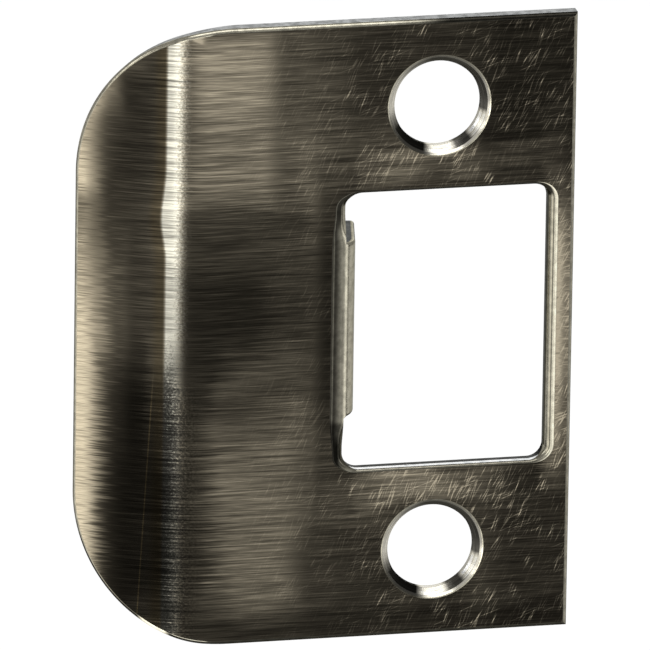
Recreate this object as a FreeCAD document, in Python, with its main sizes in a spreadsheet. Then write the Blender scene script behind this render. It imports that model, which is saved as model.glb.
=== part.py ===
"""Door strike plate: one stamped and folded steel sheet, in millimetres.

The plate stands upright as it does in a door jamb. +Z runs up its height, the front face looks
along -Y, and the flat back face lies in the plane Y = 0, where it meets the jamb. The origin is
on that back face, midway between the two screw holes. The curved lip sweeps back on the -X side,
and the latch tongue is folded back from the -X side of the opening.
"""
import FreeCAD, Part
import math
import os

import Sketcher
from FreeCAD import Placement, Rotation, Vector

NODE = "strike_plate"
NEAR = 1e-3

# Driving dimensions in millimetres and degrees: alias, value, meaning
SIZES = [
    ("plate_height", 57.15, "overall height, 2 1/4 in"),
    ("plate_width", 44.2, "overall width over the lip, just under 1 3/4 in"),
    ("sheet_thickness", 1.4, "thickness of the sheet"),
    ("screw_line_offset", 12.4, "straight edge to the line through the screw holes"),
    ("screw_spacing", 41.275, "screw hole to screw hole, 1 5/8 in"),
    ("screw_hole_diameter", 7.8, "hole at the back face"),
    ("countersink_diameter", 9.2, "countersink at the front face"),
    ("countersink_angle", 82.0, "full angle of the countersink"),
    ("countersink_rim_radius", 0.15, "rounding where the countersink meets the face"),
    ("lip_start", 20.4, "screw line to the start of the lip's bend"),
    ("lip_inner_radius", 7.6, "inner radius of the bend at the lip's root"),
    ("lip_bend_angle", 22.0, "slope of the lip where the bend ends"),
    ("lip_tip_angle", 30.0, "slope of the lip at its free edge"),
    ("lip_corner_radius", 13.8, "rounded corners of the lip"),
    ("opening_width", 18.25, "latch opening, side to side"),
    ("opening_height", 25.75, "latch opening, top to bottom"),
    ("opening_corner_radius", 1.4, "corners of the latch opening"),
    ("strip_width", 2.3, "sheet left between the opening and the straight edge"),
    ("side_rim_radius", 0.8, "rolled front rim at the opening's two sides"),
    ("end_rim_radius", 0.25, "front rim at the opening's top and bottom"),
    ("front_edge_radius", 0.35, "rounding of the plate's outer front edge"),
    ("tongue_height", 16.2, "folded latch tongue, top to bottom"),
    ("tongue_setback", 1.35, "opening's side to the start of the tongue's bend"),
    ("tongue_inner_radius", 1.2, "inner radius of the tongue's bend"),
    ("tongue_bend_angle", 79.0, "how far the tongue is folded back"),
    ("tongue_depth", 7.4, "front face to the tongue's free end"),
    ("tongue_corner_radius", 0.5, "rounded free corners of the tongue"),
    ("tongue_edge_radius", 0.35, "rounding along the tongue's front edges"),
    ("tongue_root_length", 1.0, "flat root of the tongue inside the plate"),
]

# Lengths worked out from the driving dimensions, as formulas for the bound properties
LIP_BEND_RADIUS = "(Sizes.lip_inner_radius + Sizes.sheet_thickness)"
LIP_RUN = (
    "(Sizes.plate_width - Sizes.screw_line_offset - Sizes.lip_start"
    f" - {LIP_BEND_RADIUS} * sin(Sizes.lip_bend_angle))"
)
LIP_CURVE_RADIUS = f"{LIP_RUN} / (sin(Sizes.lip_tip_angle) - sin(Sizes.lip_bend_angle))"
LIP_DROP = (
    f"({LIP_BEND_RADIUS} * (1 - cos(Sizes.lip_bend_angle))"
    f" + {LIP_CURVE_RADIUS} * (cos(Sizes.lip_bend_angle) - cos(Sizes.lip_tip_angle)))"
)
OPENING_RIGHT = "(Sizes.screw_line_offset - Sizes.strip_width)"
OPENING_LEFT = f"({OPENING_RIGHT} - Sizes.opening_width)"
TONGUE_START = f"({OPENING_LEFT} - Sizes.tongue_setback)"
TONGUE_BEND_RADIUS = "Sizes.tongue_inner_radius + Sizes.sheet_thickness"


def make_sheet(doc):
    """Write the driving dimensions into a spreadsheet with one alias each."""
    sheet = doc.addObject("Spreadsheet::Sheet", "Sizes")
    for row, (alias, value, meaning) in enumerate(SIZES, start=1):
        sheet.set(f"A{row}", alias)
        sheet.set(f"B{row}", str(value))
        sheet.setAlias(f"B{row}", alias)
        sheet.set(f"C{row}", meaning)
    doc.recompute()
    return sheet


def add_body(doc, name):
    """Add a body with its own label and placement."""
    body = doc.addObject("PartDesign::Body", name)
    body.Label = name
    body.Placement = Placement(Vector(0, 0, 0), Rotation())
    return body


def origin_plane(body, role):
    """Return one of the body's own origin planes."""
    return next(item for item in body.Origin.OriginFeatures if item.Role == role)


def add_sketch(body, name, role):
    """Add a sketch on one of the body's own origin planes."""
    sketch = body.newObject("Sketcher::SketchObject", name)
    sketch.AttachmentSupport = [(origin_plane(body, role), "")]
    sketch.MapMode = "FlatFace"
    return sketch


def relate(sketch, kind, *references):
    """Add a geometric constraint to a sketch."""
    sketch.addConstraint(Sketcher.Constraint(kind, *references))


def dimension(sketch, name, formula, kind, *references):
    """Add a named dimension to a sketch and bind it to the sheet."""
    index = sketch.addConstraint(Sketcher.Constraint(kind, *references))
    sketch.renameConstraint(index, name)
    sketch.setExpression(f"Constraints.{name}", formula)


def add_line(sketch, start, end):
    """Add a straight edge between two points of the sketch plane."""
    return sketch.addGeometry(Part.LineSegment(Vector(*start, 0), Vector(*end, 0)), False)


def add_arc(sketch, centre, radius, start_angle, end_angle):
    """Add an arc that runs anticlockwise between two angles in radians."""
    circle = Part.Circle(Vector(*centre, 0), Vector(0, 0, 1), radius)
    return sketch.addGeometry(Part.ArcOfCircle(circle, start_angle, end_angle), False)


def draw_section(sketch, sheet):
    """Draw the sheet's section: the flat, the bend and the gently curved lip, one sheet thick."""
    bend = math.radians(sheet.lip_bend_angle)
    tip = math.radians(sheet.lip_tip_angle)
    thick = sheet.sheet_thickness
    outer = sheet.lip_inner_radius + thick
    right = sheet.screw_line_offset
    left = right - sheet.plate_width
    run = -sheet.lip_start - left - outer * math.sin(bend)
    curve = run / (math.sin(tip) - math.sin(bend))
    drop = outer * (1 - math.cos(bend)) + curve * (math.cos(bend) - math.cos(tip))
    down = -math.pi / 2
    bend_centre = (-sheet.lip_start, outer - thick)
    curve_centre = (left + curve * math.sin(tip), drop - thick + curve * math.cos(tip))
    tip_front = (left, drop - thick)
    tip_back = (left + thick * math.sin(tip), drop - thick + thick * math.cos(tip))

    front = add_line(sketch, (right, -thick), (-sheet.lip_start, -thick))
    bend_front = add_arc(sketch, bend_centre, outer, down - bend, down)
    lip_front = add_arc(sketch, curve_centre, curve, down - tip, down - bend)
    tip_edge = add_line(sketch, tip_front, tip_back)
    lip_back = add_arc(sketch, curve_centre, curve - thick, down - tip, down - bend)
    bend_back = add_arc(sketch, bend_centre, outer - thick, down - bend, down)
    back = add_line(sketch, (-sheet.lip_start, 0), (right, 0))
    straight_edge = add_line(sketch, (right, 0), (right, -thick))

    relate(sketch, "Tangent", front, 2, bend_front, 2)
    relate(sketch, "Tangent", bend_front, 1, lip_front, 2)
    relate(sketch, "Perpendicular", lip_front, 1, tip_edge, 1)
    relate(sketch, "Coincident", tip_edge, 2, lip_back, 1)
    relate(sketch, "Tangent", lip_back, 2, bend_back, 1)
    relate(sketch, "Tangent", bend_back, 2, back, 1)
    relate(sketch, "Coincident", back, 2, straight_edge, 1)
    relate(sketch, "Coincident", straight_edge, 2, front, 1)
    relate(sketch, "Coincident", bend_front, 3, bend_back, 3)
    relate(sketch, "Coincident", lip_front, 3, lip_back, 3)
    relate(sketch, "Horizontal", front)
    relate(sketch, "Horizontal", back)
    relate(sketch, "Vertical", straight_edge)
    relate(sketch, "PointOnObject", straight_edge, 1, -1)
    dimension(sketch, "thickness", "Sizes.sheet_thickness",
              "DistanceY", straight_edge, 2, straight_edge, 1, thick)
    dimension(sketch, "edge_offset", "Sizes.screw_line_offset",
              "DistanceX", -1, 1, straight_edge, 1, right)
    dimension(sketch, "bend_start", "Sizes.lip_start",
              "DistanceX", front, 2, -1, 1, sheet.lip_start)
    dimension(sketch, "bend_radius", LIP_BEND_RADIUS, "Radius", bend_front, outer)
    dimension(sketch, "curve_radius", LIP_CURVE_RADIUS, "Radius", lip_front, curve)
    dimension(sketch, "width", "Sizes.plate_width",
              "DistanceX", lip_front, 1, straight_edge, 2, sheet.plate_width)
    dimension(sketch, "lip_drop", LIP_DROP,
              "DistanceY", straight_edge, 2, lip_front, 1, drop)


def draw_lip_corner(sketch, sheet):
    """Draw the waste outside the lip's upper corner, square to the sheet at its free edge."""
    radius = sheet.lip_corner_radius
    half = sheet.plate_height / 2
    level = half - radius
    spare = sheet.sheet_thickness
    curve = add_arc(sketch, (radius, level), radius, math.pi / 2, math.pi)
    tip_stub = add_line(sketch, (0, level), (-spare, level))
    outer_side = add_line(sketch, (-spare, level), (-spare, half + spare))
    outer_end = add_line(sketch, (-spare, half + spare), (radius, half + spare))
    end_stub = add_line(sketch, (radius, half + spare), (radius, half))
    relate(sketch, "Coincident", curve, 2, tip_stub, 1)
    relate(sketch, "Coincident", tip_stub, 2, outer_side, 1)
    relate(sketch, "Coincident", outer_side, 2, outer_end, 1)
    relate(sketch, "Coincident", outer_end, 2, end_stub, 1)
    relate(sketch, "Coincident", end_stub, 2, curve, 1)
    relate(sketch, "Horizontal", tip_stub)
    relate(sketch, "Vertical", outer_side)
    relate(sketch, "Horizontal", outer_end)
    relate(sketch, "Vertical", end_stub)
    relate(sketch, "PointOnObject", tip_stub, 1, -2)
    relate(sketch, "Vertical", end_stub, 2, curve, 3)
    relate(sketch, "Horizontal", tip_stub, 1, curve, 3)
    dimension(sketch, "corner_radius", "Sizes.lip_corner_radius", "Radius", curve, radius)
    dimension(sketch, "end_level", "Sizes.plate_height / 2",
              "DistanceY", -1, 1, end_stub, 2, half)
    dimension(sketch, "spare_side", "Sizes.sheet_thickness",
              "DistanceX", tip_stub, 2, tip_stub, 1, spare)
    dimension(sketch, "spare_end", "Sizes.sheet_thickness",
              "DistanceY", end_stub, 2, end_stub, 1, spare)


def tilt_to_lip_tip(sketch):
    """Lay a sketch of the front plane flat on the lip's free edge, with its origin there."""
    offset = "AttachmentOffset"
    sketch.AttachmentOffset = Placement(Vector(0, 0, 0), Rotation(Vector(0, 1, 0), -1))
    sketch.setExpression(f"{offset}.Base.x", "Sizes.screw_line_offset - Sizes.plate_width")
    sketch.setExpression(f"{offset}.Base.z", f"Sizes.sheet_thickness - {LIP_DROP}")
    sketch.setExpression(f"{offset}.Rotation.Axis.y", "-1")
    sketch.setExpression(f"{offset}.Rotation.Angle", "Sizes.lip_tip_angle * 1deg")


def draw_opening(sketch, sheet):
    """Draw the latch opening with square corners, centred between the screw holes."""
    right = sheet.screw_line_offset - sheet.strip_width
    left = right - sheet.opening_width
    half = sheet.opening_height / 2
    corners = [(left, -half), (right, -half), (right, half), (left, half)]
    bottom, side, top, tongue_side = [
        add_line(sketch, start, end) for start, end in zip(corners, corners[1:] + corners[:1])
    ]
    loop = [bottom, side, top, tongue_side]
    for edge, following in zip(loop, loop[1:] + loop[:1]):
        relate(sketch, "Coincident", edge, 2, following, 1)
    relate(sketch, "Horizontal", bottom)
    relate(sketch, "Horizontal", top)
    relate(sketch, "Vertical", tongue_side)
    relate(sketch, "Symmetric", side, 1, side, 2, -1)
    dimension(sketch, "opening_width", "Sizes.opening_width",
              "DistanceX", bottom, 1, bottom, 2, sheet.opening_width)
    dimension(sketch, "opening_height", "Sizes.opening_height",
              "DistanceY", side, 1, side, 2, sheet.opening_height)
    dimension(sketch, "opening_side", OPENING_RIGHT, "DistanceX", -1, 1, side, 1, right)


def draw_screw_holes(sketch, sheet):
    """Draw the two screw holes, one above and one below the opening."""
    half = sheet.screw_spacing / 2
    for name, level in (("upper", half), ("lower", -half)):
        circle = Part.Circle(Vector(0, level, 0), Vector(0, 0, 1), sheet.screw_hole_diameter / 2)
        hole = sketch.addGeometry(circle, False)
        relate(sketch, "PointOnObject", hole, 3, -2)
        dimension(sketch, f"{name}_diameter", "Sizes.screw_hole_diameter",
                  "Diameter", hole, sheet.screw_hole_diameter)
        ends = (-1, 1, hole, 3) if level > 0 else (hole, 3, -1, 1)
        dimension(sketch, f"{name}_level", "Sizes.screw_spacing / 2", "DistanceY", *ends, half)


def draw_tongue(sketch, sheet):
    """Draw the tongue's section: a flat root, a tight bend and a straight leg that runs back."""
    thick = sheet.sheet_thickness
    inner = sheet.tongue_inner_radius
    outer = inner + thick
    fold = math.radians(sheet.tongue_bend_angle)
    start = (sheet.screw_line_offset - sheet.strip_width - sheet.opening_width
             - sheet.tongue_setback)
    root = start - sheet.tongue_root_length
    centre = (start, inner)
    leg = (sheet.tongue_depth - outer * (1 - math.cos(fold))) / math.sin(fold)
    front_end = (start + outer * math.sin(fold), inner - outer * math.cos(fold))
    back_end = (start + inner * math.sin(fold), inner - inner * math.cos(fold))
    reach = (leg * math.cos(fold), leg * math.sin(fold))
    tip_front = (front_end[0] + reach[0], front_end[1] + reach[1])
    tip_back = (back_end[0] + reach[0], back_end[1] + reach[1])
    down = -math.pi / 2

    root_end = add_line(sketch, (root, 0), (root, -thick))
    front = add_line(sketch, (root, -thick), (start, -thick))
    bend_front = add_arc(sketch, centre, outer, down, down + fold)
    leg_front = add_line(sketch, front_end, tip_front)
    tip_edge = add_line(sketch, tip_front, tip_back)
    leg_back = add_line(sketch, tip_back, back_end)
    bend_back = add_arc(sketch, centre, inner, down, down + fold)
    back = add_line(sketch, (start, 0), (root, 0))

    relate(sketch, "Coincident", root_end, 2, front, 1)
    relate(sketch, "Tangent", front, 2, bend_front, 1)
    relate(sketch, "Tangent", bend_front, 2, leg_front, 1)
    relate(sketch, "Perpendicular", leg_front, 2, tip_edge, 1)
    relate(sketch, "Coincident", tip_edge, 2, leg_back, 1)
    relate(sketch, "Tangent", leg_back, 2, bend_back, 2)
    relate(sketch, "Tangent", bend_back, 1, back, 1)
    relate(sketch, "Coincident", back, 2, root_end, 1)
    relate(sketch, "Coincident", bend_front, 3, bend_back, 3)
    relate(sketch, "Parallel", leg_front, leg_back)
    relate(sketch, "Vertical", root_end)
    relate(sketch, "PointOnObject", root_end, 1, -1)
    relate(sketch, "Horizontal", front)
    relate(sketch, "Horizontal", back)
    dimension(sketch, "thickness", "Sizes.sheet_thickness",
              "DistanceY", root_end, 2, root_end, 1, thick)
    dimension(sketch, "root_length", "Sizes.tongue_root_length",
              "DistanceX", front, 1, front, 2, sheet.tongue_root_length)
    dimension(sketch, "bend_start", f"-{TONGUE_START}", "DistanceX", front, 2, -1, 1, -start)
    dimension(sketch, "bend_radius", TONGUE_BEND_RADIUS, "Radius", bend_front, outer)
    dimension(sketch, "fold", "Sizes.tongue_bend_angle * 1deg",
              "Angle", leg_front, fold)
    dimension(sketch, "depth", "Sizes.tongue_depth",
              "DistanceY", front, 2, leg_front, 2, sheet.tongue_depth)


def edges_where(shape, test):
    """Name the edges of a shape whose bounding box passes a test."""
    return [f"Edge{number}" for number, edge in enumerate(shape.Edges, start=1)
            if test(edge.BoundBox)]


def in_window(box, x_range, z_range):
    """Say whether a bounding box lies within the given ranges of X and Z."""
    in_x = box.XMin > x_range[0] - NEAR and box.XMax < x_range[1] + NEAR
    return in_x and box.ZMin > z_range[0] - NEAR and box.ZMax < z_range[1] + NEAR


def in_front_face(box, sheet):
    """Say whether a bounding box lies in the plate's flat front face."""
    return box.YLength < NEAR and abs(box.YMin + sheet.sheet_thickness) < NEAR


def opening_window(sheet):
    """Return the latch opening's ranges of X and Z."""
    right = sheet.screw_line_offset - sheet.strip_width
    half = sheet.opening_height / 2
    return (right - sheet.opening_width, right), (-half, half)


def round_edges(body, name, edges, formula):
    """Round the named edges of a body's last feature by a bound radius."""
    base = body.Tip
    fillet = body.newObject("PartDesign::Fillet", name)
    fillet.Base = (base, edges)
    fillet.setExpression("Radius", formula)
    body.Document.recompute()


def cut_through(body, name, sketch):
    """Cut a sketch's outline through the whole sheet, front and back."""
    pocket = body.newObject("PartDesign::Pocket", name)
    pocket.Profile = sketch
    pocket.Type = "ThroughAll"
    pocket.Midplane = True
    body.Document.recompute()
    return pocket


def build_bent_sheet(body, sheet):
    """Extrude the sheet's section and round the lip's two corners."""
    section = add_sketch(body, "section", "XY_Plane")
    draw_section(section, sheet)
    pad = body.newObject("PartDesign::Pad", "bent_sheet")
    pad.Profile = section
    pad.Midplane = True
    pad.setExpression("Length", "Sizes.plate_height")

    corner = add_sketch(body, "lip_corner", "XZ_Plane")
    tilt_to_lip_tip(corner)
    draw_lip_corner(corner, sheet)
    corner_cut = cut_through(body, "lip_corner_cut", corner)
    mirrored = body.newObject("PartDesign::Mirrored", "both_lip_corners")
    mirrored.Originals = [corner_cut]
    mirrored.MirrorPlane = (origin_plane(body, "XY_Plane"), [""])
    body.Tip = mirrored
    body.Document.recompute()


def build_opening(body, sheet):
    """Cut the latch opening and round its four corners."""
    opening = add_sketch(body, "latch_opening", "XZ_Plane")
    draw_opening(opening, sheet)
    cut_through(body, "latch_opening_cut", opening)
    window = opening_window(sheet)
    corners = edges_where(
        body.Shape,
        lambda box: in_window(box, *window) and max(box.XLength, box.ZLength) < NEAR,
    )
    round_edges(body, "opening_corners", corners, "Sizes.opening_corner_radius")


def build_screw_holes(body, sheet):
    """Drill and countersink the two screw holes from the front face."""
    holes = add_sketch(body, "screw_holes", "XZ_Plane")
    holes.setExpression("AttachmentOffset.Base.z", "Sizes.sheet_thickness")
    draw_screw_holes(holes, sheet)
    body.Document.recompute()
    hole = body.newObject("PartDesign::Hole", "countersunk_holes")
    hole.Profile = holes
    hole.DepthType = "ThroughAll"
    hole.HoleCutType = "Countersink"
    hole.HoleCutCustomValues = True
    hole.setExpression("Diameter", "Sizes.screw_hole_diameter")
    hole.setExpression("HoleCutDiameter", "Sizes.countersink_diameter")
    hole.setExpression("HoleCutCountersinkAngle", "Sizes.countersink_angle * 1deg")
    body.Document.recompute()


def round_front_edges(body, sheet):
    """Round the plate's outer front edge and the countersinks' mouths."""
    half = sheet.plate_height / 2
    outline = edges_where(
        body.Shape,
        lambda box: in_front_face(box, sheet)
        and (box.ZMin > half - NEAR or box.XMin > sheet.screw_line_offset - NEAR),
    )
    round_edges(body, "front_outline", outline, "Sizes.front_edge_radius")
    mouths = edges_where(
        body.Shape,
        lambda box: in_front_face(box, sheet) and abs(box.XMin + box.XMax) < NEAR
        and abs(box.XLength - sheet.countersink_diameter) < NEAR,
    )
    round_edges(body, "countersink_mouths", mouths, "Sizes.countersink_rim_radius")


def build_blank(doc, sheet):
    """Build the bent sheet with its rounded lip, latch opening and countersunk screw holes."""
    body = add_body(doc, "sheet_blank")
    build_bent_sheet(body, sheet)
    build_opening(body, sheet)
    build_screw_holes(body, sheet)
    round_front_edges(body, sheet)
    return body


def build_rims(doc, sheet, blank):
    """Roll the opening's front rim: wide along its two sides, narrow along its two ends."""
    window = opening_window(sheet)

    def radius_at(vertex):
        on_side = min(abs(vertex.X - side) for side in window[0]) < NEAR
        return sheet.side_rim_radius if on_side else sheet.end_rim_radius

    fillet = doc.addObject("Part::Fillet", "rolled_rims")
    fillet.Base = blank
    fillet.Edges = [
        (number, radius_at(edge.firstVertex()), radius_at(edge.lastVertex()))
        for number, edge in enumerate(blank.Shape.Edges, start=1)
        if in_front_face(edge.BoundBox, sheet) and in_window(edge.BoundBox, *window)
    ]
    doc.recompute()
    return fillet


def build_notch(doc, blank):
    """Take out the strip of sheet that the tongue's bend replaces."""
    notch = doc.addObject("Part::Box", "tongue_notch")
    notch.setExpression("Length", "Sizes.tongue_setback + Sizes.opening_corner_radius")
    notch.setExpression("Width", "Sizes.sheet_thickness * 3")
    notch.setExpression("Height", "Sizes.tongue_height")
    notch.setExpression("Placement.Base.x", TONGUE_START)
    notch.setExpression("Placement.Base.y", "-Sizes.sheet_thickness * 2")
    notch.setExpression("Placement.Base.z", "-Sizes.tongue_height / 2")
    cut = doc.addObject("Part::Cut", "notched_blank")
    cut.Base = blank
    cut.Tool = notch
    return cut


def build_tongue(doc, sheet):
    """Build the folded latch tongue with its rounded free corners and front edges."""
    body = add_body(doc, "latch_tongue")
    section = add_sketch(body, "tongue_section", "XY_Plane")
    draw_tongue(section, sheet)
    pad = body.newObject("PartDesign::Pad", "folded_tongue")
    pad.Profile = section
    pad.Midplane = True
    pad.setExpression("Length", "Sizes.tongue_height")
    doc.recompute()
    free_end = sheet.tongue_depth - sheet.sheet_thickness
    corners = edges_where(
        body.Shape,
        lambda box: box.ZLength < NEAR and abs(box.YMin - free_end) < NEAR,
    )
    round_edges(body, "tongue_corners", corners, "Sizes.tongue_corner_radius")
    bend_radius = sheet.tongue_inner_radius + sheet.sheet_thickness
    bend_edges = [
        f"Edge{number}" for number, edge in enumerate(body.Shape.Edges, start=1)
        if edge.Curve.TypeId == "Part::GeomCircle" and abs(edge.Curve.Radius - bend_radius) < NEAR
    ]
    round_edges(body, "tongue_front_edges", bend_edges, "Sizes.tongue_edge_radius")
    return body


def build_plate(doc, sheet):
    """Join the notched sheet and its folded tongue into the one folded plate."""
    blank = build_blank(doc, sheet)
    rolled = build_rims(doc, sheet, blank)
    plate = doc.addObject("Part::Fuse", NODE)
    plate.Label = NODE
    plate.Base = build_notch(doc, rolled)
    plate.Tool = build_tongue(doc, sheet)
    plate.Refine = True
    plate.Placement = Placement(Vector(0, 0, 0), Rotation())
    doc.recompute()
    return plate


def check(doc, plate):
    """Stop if any object failed or the plate isn't one sound solid."""
    failed = [obj.Label for obj in doc.Objects if {"Invalid", "Error"} & set(obj.State)]
    if failed:
        raise RuntimeError(f"failed objects: {failed}")
    loose = [obj.Label for obj in doc.findObjects("Sketcher::SketchObject")
             if obj.solve() != 0 or not obj.FullyConstrained]
    if loose:
        raise RuntimeError(f"sketches not fully constrained: {loose}")
    if plate.Shape.isNull() or not plate.Shape.isValid() or len(plate.Shape.Solids) != 1:
        raise RuntimeError("the plate is not one valid solid")


def main():
    """Build the plate, check it and write its solid."""
    doc = FreeCAD.newDocument("strike_plate_model")
    sheet = make_sheet(doc)
    plate = build_plate(doc, sheet)
    check(doc, plate)
    os.makedirs("parts", exist_ok=True)
    plate.Shape.exportStep(f"parts/{plate.Label}.step")
    box = plate.Shape.optimalBoundingBox(False, False)
    print(f"{plate.Label}: {plate.Shape.Volume:.2f} cubic mm, "
          f"{box.XLength:.2f} x {box.YLength:.2f} x {box.ZLength:.2f} mm")


main()
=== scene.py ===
"""Door strike plate in antique brushed nickel, dressed for its portrait.

The plate is one folded sheet. Its surfaces are worked out in the sheet's own developed
coordinates: the distance along the front face from the lip's free edge, the height, and the
depth below the front face. Sizes are in metres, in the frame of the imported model: +Z up the
plate, -Y out of its front face, the curved lip on the -X side.
"""
from __future__ import annotations

import logging
import math
from dataclasses import dataclass, field
from enum import Enum

import bpy
import numpy as np
from mathutils import Matrix, Vector


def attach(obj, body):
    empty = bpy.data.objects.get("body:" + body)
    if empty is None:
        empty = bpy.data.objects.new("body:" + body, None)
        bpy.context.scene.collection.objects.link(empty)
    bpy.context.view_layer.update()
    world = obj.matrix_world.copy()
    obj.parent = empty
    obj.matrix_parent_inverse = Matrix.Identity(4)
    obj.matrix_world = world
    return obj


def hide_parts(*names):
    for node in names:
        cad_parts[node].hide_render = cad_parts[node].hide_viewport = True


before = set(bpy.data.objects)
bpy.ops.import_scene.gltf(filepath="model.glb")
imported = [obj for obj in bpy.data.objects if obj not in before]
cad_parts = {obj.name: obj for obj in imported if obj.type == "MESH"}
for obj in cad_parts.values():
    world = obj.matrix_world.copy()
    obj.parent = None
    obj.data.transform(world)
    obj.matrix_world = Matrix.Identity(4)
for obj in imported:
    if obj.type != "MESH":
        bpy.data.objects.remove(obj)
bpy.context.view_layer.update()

LOG = logging.getLogger("strike_plate")
MM = 0.001
IMAGE_SIZE = 650
FACING_ACROSS = "facing_across"
FACING_UP = "facing_up"
HOLE_GRAIN = 100 * MM
UPWARDS = np.array([0.0, 0.0, 1.0])
Pair = tuple[float, float]
Triple = tuple[float, float, float]
Colour = tuple[float, float, float, float]
Knots = tuple[Pair, ...]
Layer = tuple[Triple, Triple, float, float]
Socket = bpy.types.NodeSocket


def degrees(value: float) -> float:
    """Give an angle in radians from one in degrees."""
    return math.radians(value)


def unit(directions: np.ndarray) -> np.ndarray:
    """Scale every vector of an array to length one."""
    return directions / np.linalg.norm(directions, axis=-1, keepdims=True)


def vectors(*parts: np.ndarray | float) -> np.ndarray:
    """Put the parts of vectors together, each stretched to the shape of the largest."""
    return np.stack(np.broadcast_arrays(*parts), -1)


def shares(steps: int, end: float = 1.0) -> np.ndarray:
    """Sample the way from 0 to an end in even steps."""
    return np.linspace(0, end, steps + 1)


def ruled(first: np.ndarray, last: np.ndarray, share: np.ndarray) -> np.ndarray:
    """Rule straight lines between two rows of points.

    Args:
        first: the row where the lines start.
        last: the row where they end.
        share: how far along the lines each new row lies, from 0 to 1.

    Returns:
        A grid of points, with a row for each share.
    """
    share = share[:, None, None]
    return first[None] * (1 - share) + last[None] * share


def joined(*runs: np.ndarray) -> np.ndarray:
    """Join runs of samples whose ends repeat the next run's start.

    Args:
        runs: one-dimensional runs of samples, in order.

    Returns:
        One run in which each shared sample appears once.
    """
    return np.concatenate([run[:-1] for run in runs[:-1]] + [runs[-1]])


def smooth_step(value: np.ndarray) -> np.ndarray:
    """Ease from 0 to 1 as the value goes from 0 to 1, flat at both ends."""
    held = np.clip(value, 0.0, 1.0)
    return held * held * (3.0 - 2.0 * held)


class Face(Enum):
    """Which kind of surface a patch is, as the finish sees it."""

    BRUSHED = "brushed"
    PLAIN = "plain"
    ROLLED = "rolled"
    SHEARED = "sheared"
    TURNED = "turned"


@dataclass
class Patch:
    """A grid of surface points with the data that each corner carries.

    Attributes:
        points: positions, shape (rows, columns, 3).
        normals: outward directions, same shape.
        grain: distance along and across the brushing, shape (rows, columns, 2).
        kind: the kind of surface.
    """

    points: np.ndarray
    normals: np.ndarray
    grain: np.ndarray
    kind: Face


class SheetMesh:
    """Collects surface patches and welds them into one closed mesh.

    Corners weld where they fall in one cell of a fine lattice. Its pitch isn't a round number,
    so that no sample lies on the border of two cells.
    """

    WELD = 1.37e-8

    def __init__(self) -> None:
        """Start with no patches."""
        self.patches: list[Patch] = []

    def add(self, points: np.ndarray, normals: np.ndarray, grain: np.ndarray, kind: Face) -> None:
        """Add one grid of points.

        Args:
            points: positions, shape (rows, columns, 3).
            normals: outward directions, any shape that broadcasts to that of the points.
            grain: distance along and across the brushing, shape (rows, columns, 2).
            kind: the kind of surface.
        """
        normals = np.broadcast_to(normals, points.shape)
        grain = np.broadcast_to(grain, points.shape[:2] + (2,))
        self.patches.append(Patch(points, normals, grain, kind))

    def quads(self, points: np.ndarray, normals: np.ndarray) -> np.ndarray:
        """List the four corners of every grid cell, turned so that they agree with the normals.

        Args:
            points: the points of all patches, one after the other.
            normals: their outward directions.

        Returns:
            Point numbers, shape (cells, 4).
        """
        cells, start = [], 0
        for patch in self.patches:
            rows, columns = patch.points.shape[:2]
            index = start + np.arange(rows * columns).reshape(rows, columns)
            corners = (index[:-1, :-1], index[:-1, 1:], index[1:, 1:], index[1:, :-1])
            cells.append(np.stack(corners, -1).reshape(-1, 4))
            start += rows * columns
        quads = np.concatenate(cells)
        corner = points[quads]
        facing = np.cross(corner[:, 2] - corner[:, 0], corner[:, 3] - corner[:, 1])
        wrong = np.einsum("ij,ij->i", facing, normals[quads].sum(axis=1)) < 0
        quads[wrong] = quads[wrong][:, ::-1]
        return quads

    def build(self, name: str) -> bpy.types.Object:
        """Weld the patches into one object.

        Every grid cell becomes a face turned so that it agrees with its normals. Corners that
        share a place become one vertex, and each corner keeps its own normal and data.

        Args:
            name: the object's name.

        Returns:
            The new object, linked to the scene.
        """
        points = np.concatenate([p.points.reshape(-1, 3) for p in self.patches])
        normals = unit(np.concatenate([p.normals.reshape(-1, 3) for p in self.patches]))
        grain = np.concatenate([p.grain.reshape(-1, 2) for p in self.patches])
        sizes = [p.points[..., 0].size for p in self.patches]
        kinds = np.repeat([list(Face).index(p.kind) for p in self.patches], sizes)
        quads = self.quads(points, normals)

        keys = np.round(points / self.WELD).astype(np.int64)
        _, first, weld = np.unique(keys, axis=0, return_index=True, return_inverse=True)
        welded = weld.reshape(-1)[quads]
        keep = welded != np.roll(welded, -1, axis=1)
        keep[keep.sum(axis=1) < 3] = False
        counts = keep.sum(axis=1)
        counts = counts[counts > 0]
        corners = quads[keep]

        mesh = bpy.data.meshes.new(name)
        mesh.vertices.add(len(first))
        mesh.vertices.foreach_set("co", points[first].ravel())
        mesh.loops.add(len(corners))
        mesh.loops.foreach_set("vertex_index", welded[keep])
        mesh.polygons.add(len(counts))
        mesh.polygons.foreach_set("loop_start", np.cumsum(counts) - counts)
        mesh.update(calc_edges=True)
        mesh.polygons.foreach_set("use_smooth", np.ones(len(counts), dtype=bool))
        mesh.uv_layers.new(name="grain").uv.foreach_set("vector", grain[corners].ravel())
        for position, kind in enumerate(Face):
            layer = mesh.attributes.new(kind.value, "FLOAT", "CORNER")
            layer.data.foreach_set("value", (kinds[corners] == position).astype(np.float32))
        for axis, label in ((0, FACING_ACROSS), (2, FACING_UP)):
            layer = mesh.attributes.new(label, "FLOAT", "CORNER")
            layer.data.foreach_set("value", normals[corners][:, axis].astype(np.float32))
        mesh.normals_split_custom_set(normals[corners].tolist())
        piece = bpy.data.objects.new(name, mesh)
        bpy.context.scene.collection.objects.link(piece)
        return piece


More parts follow.
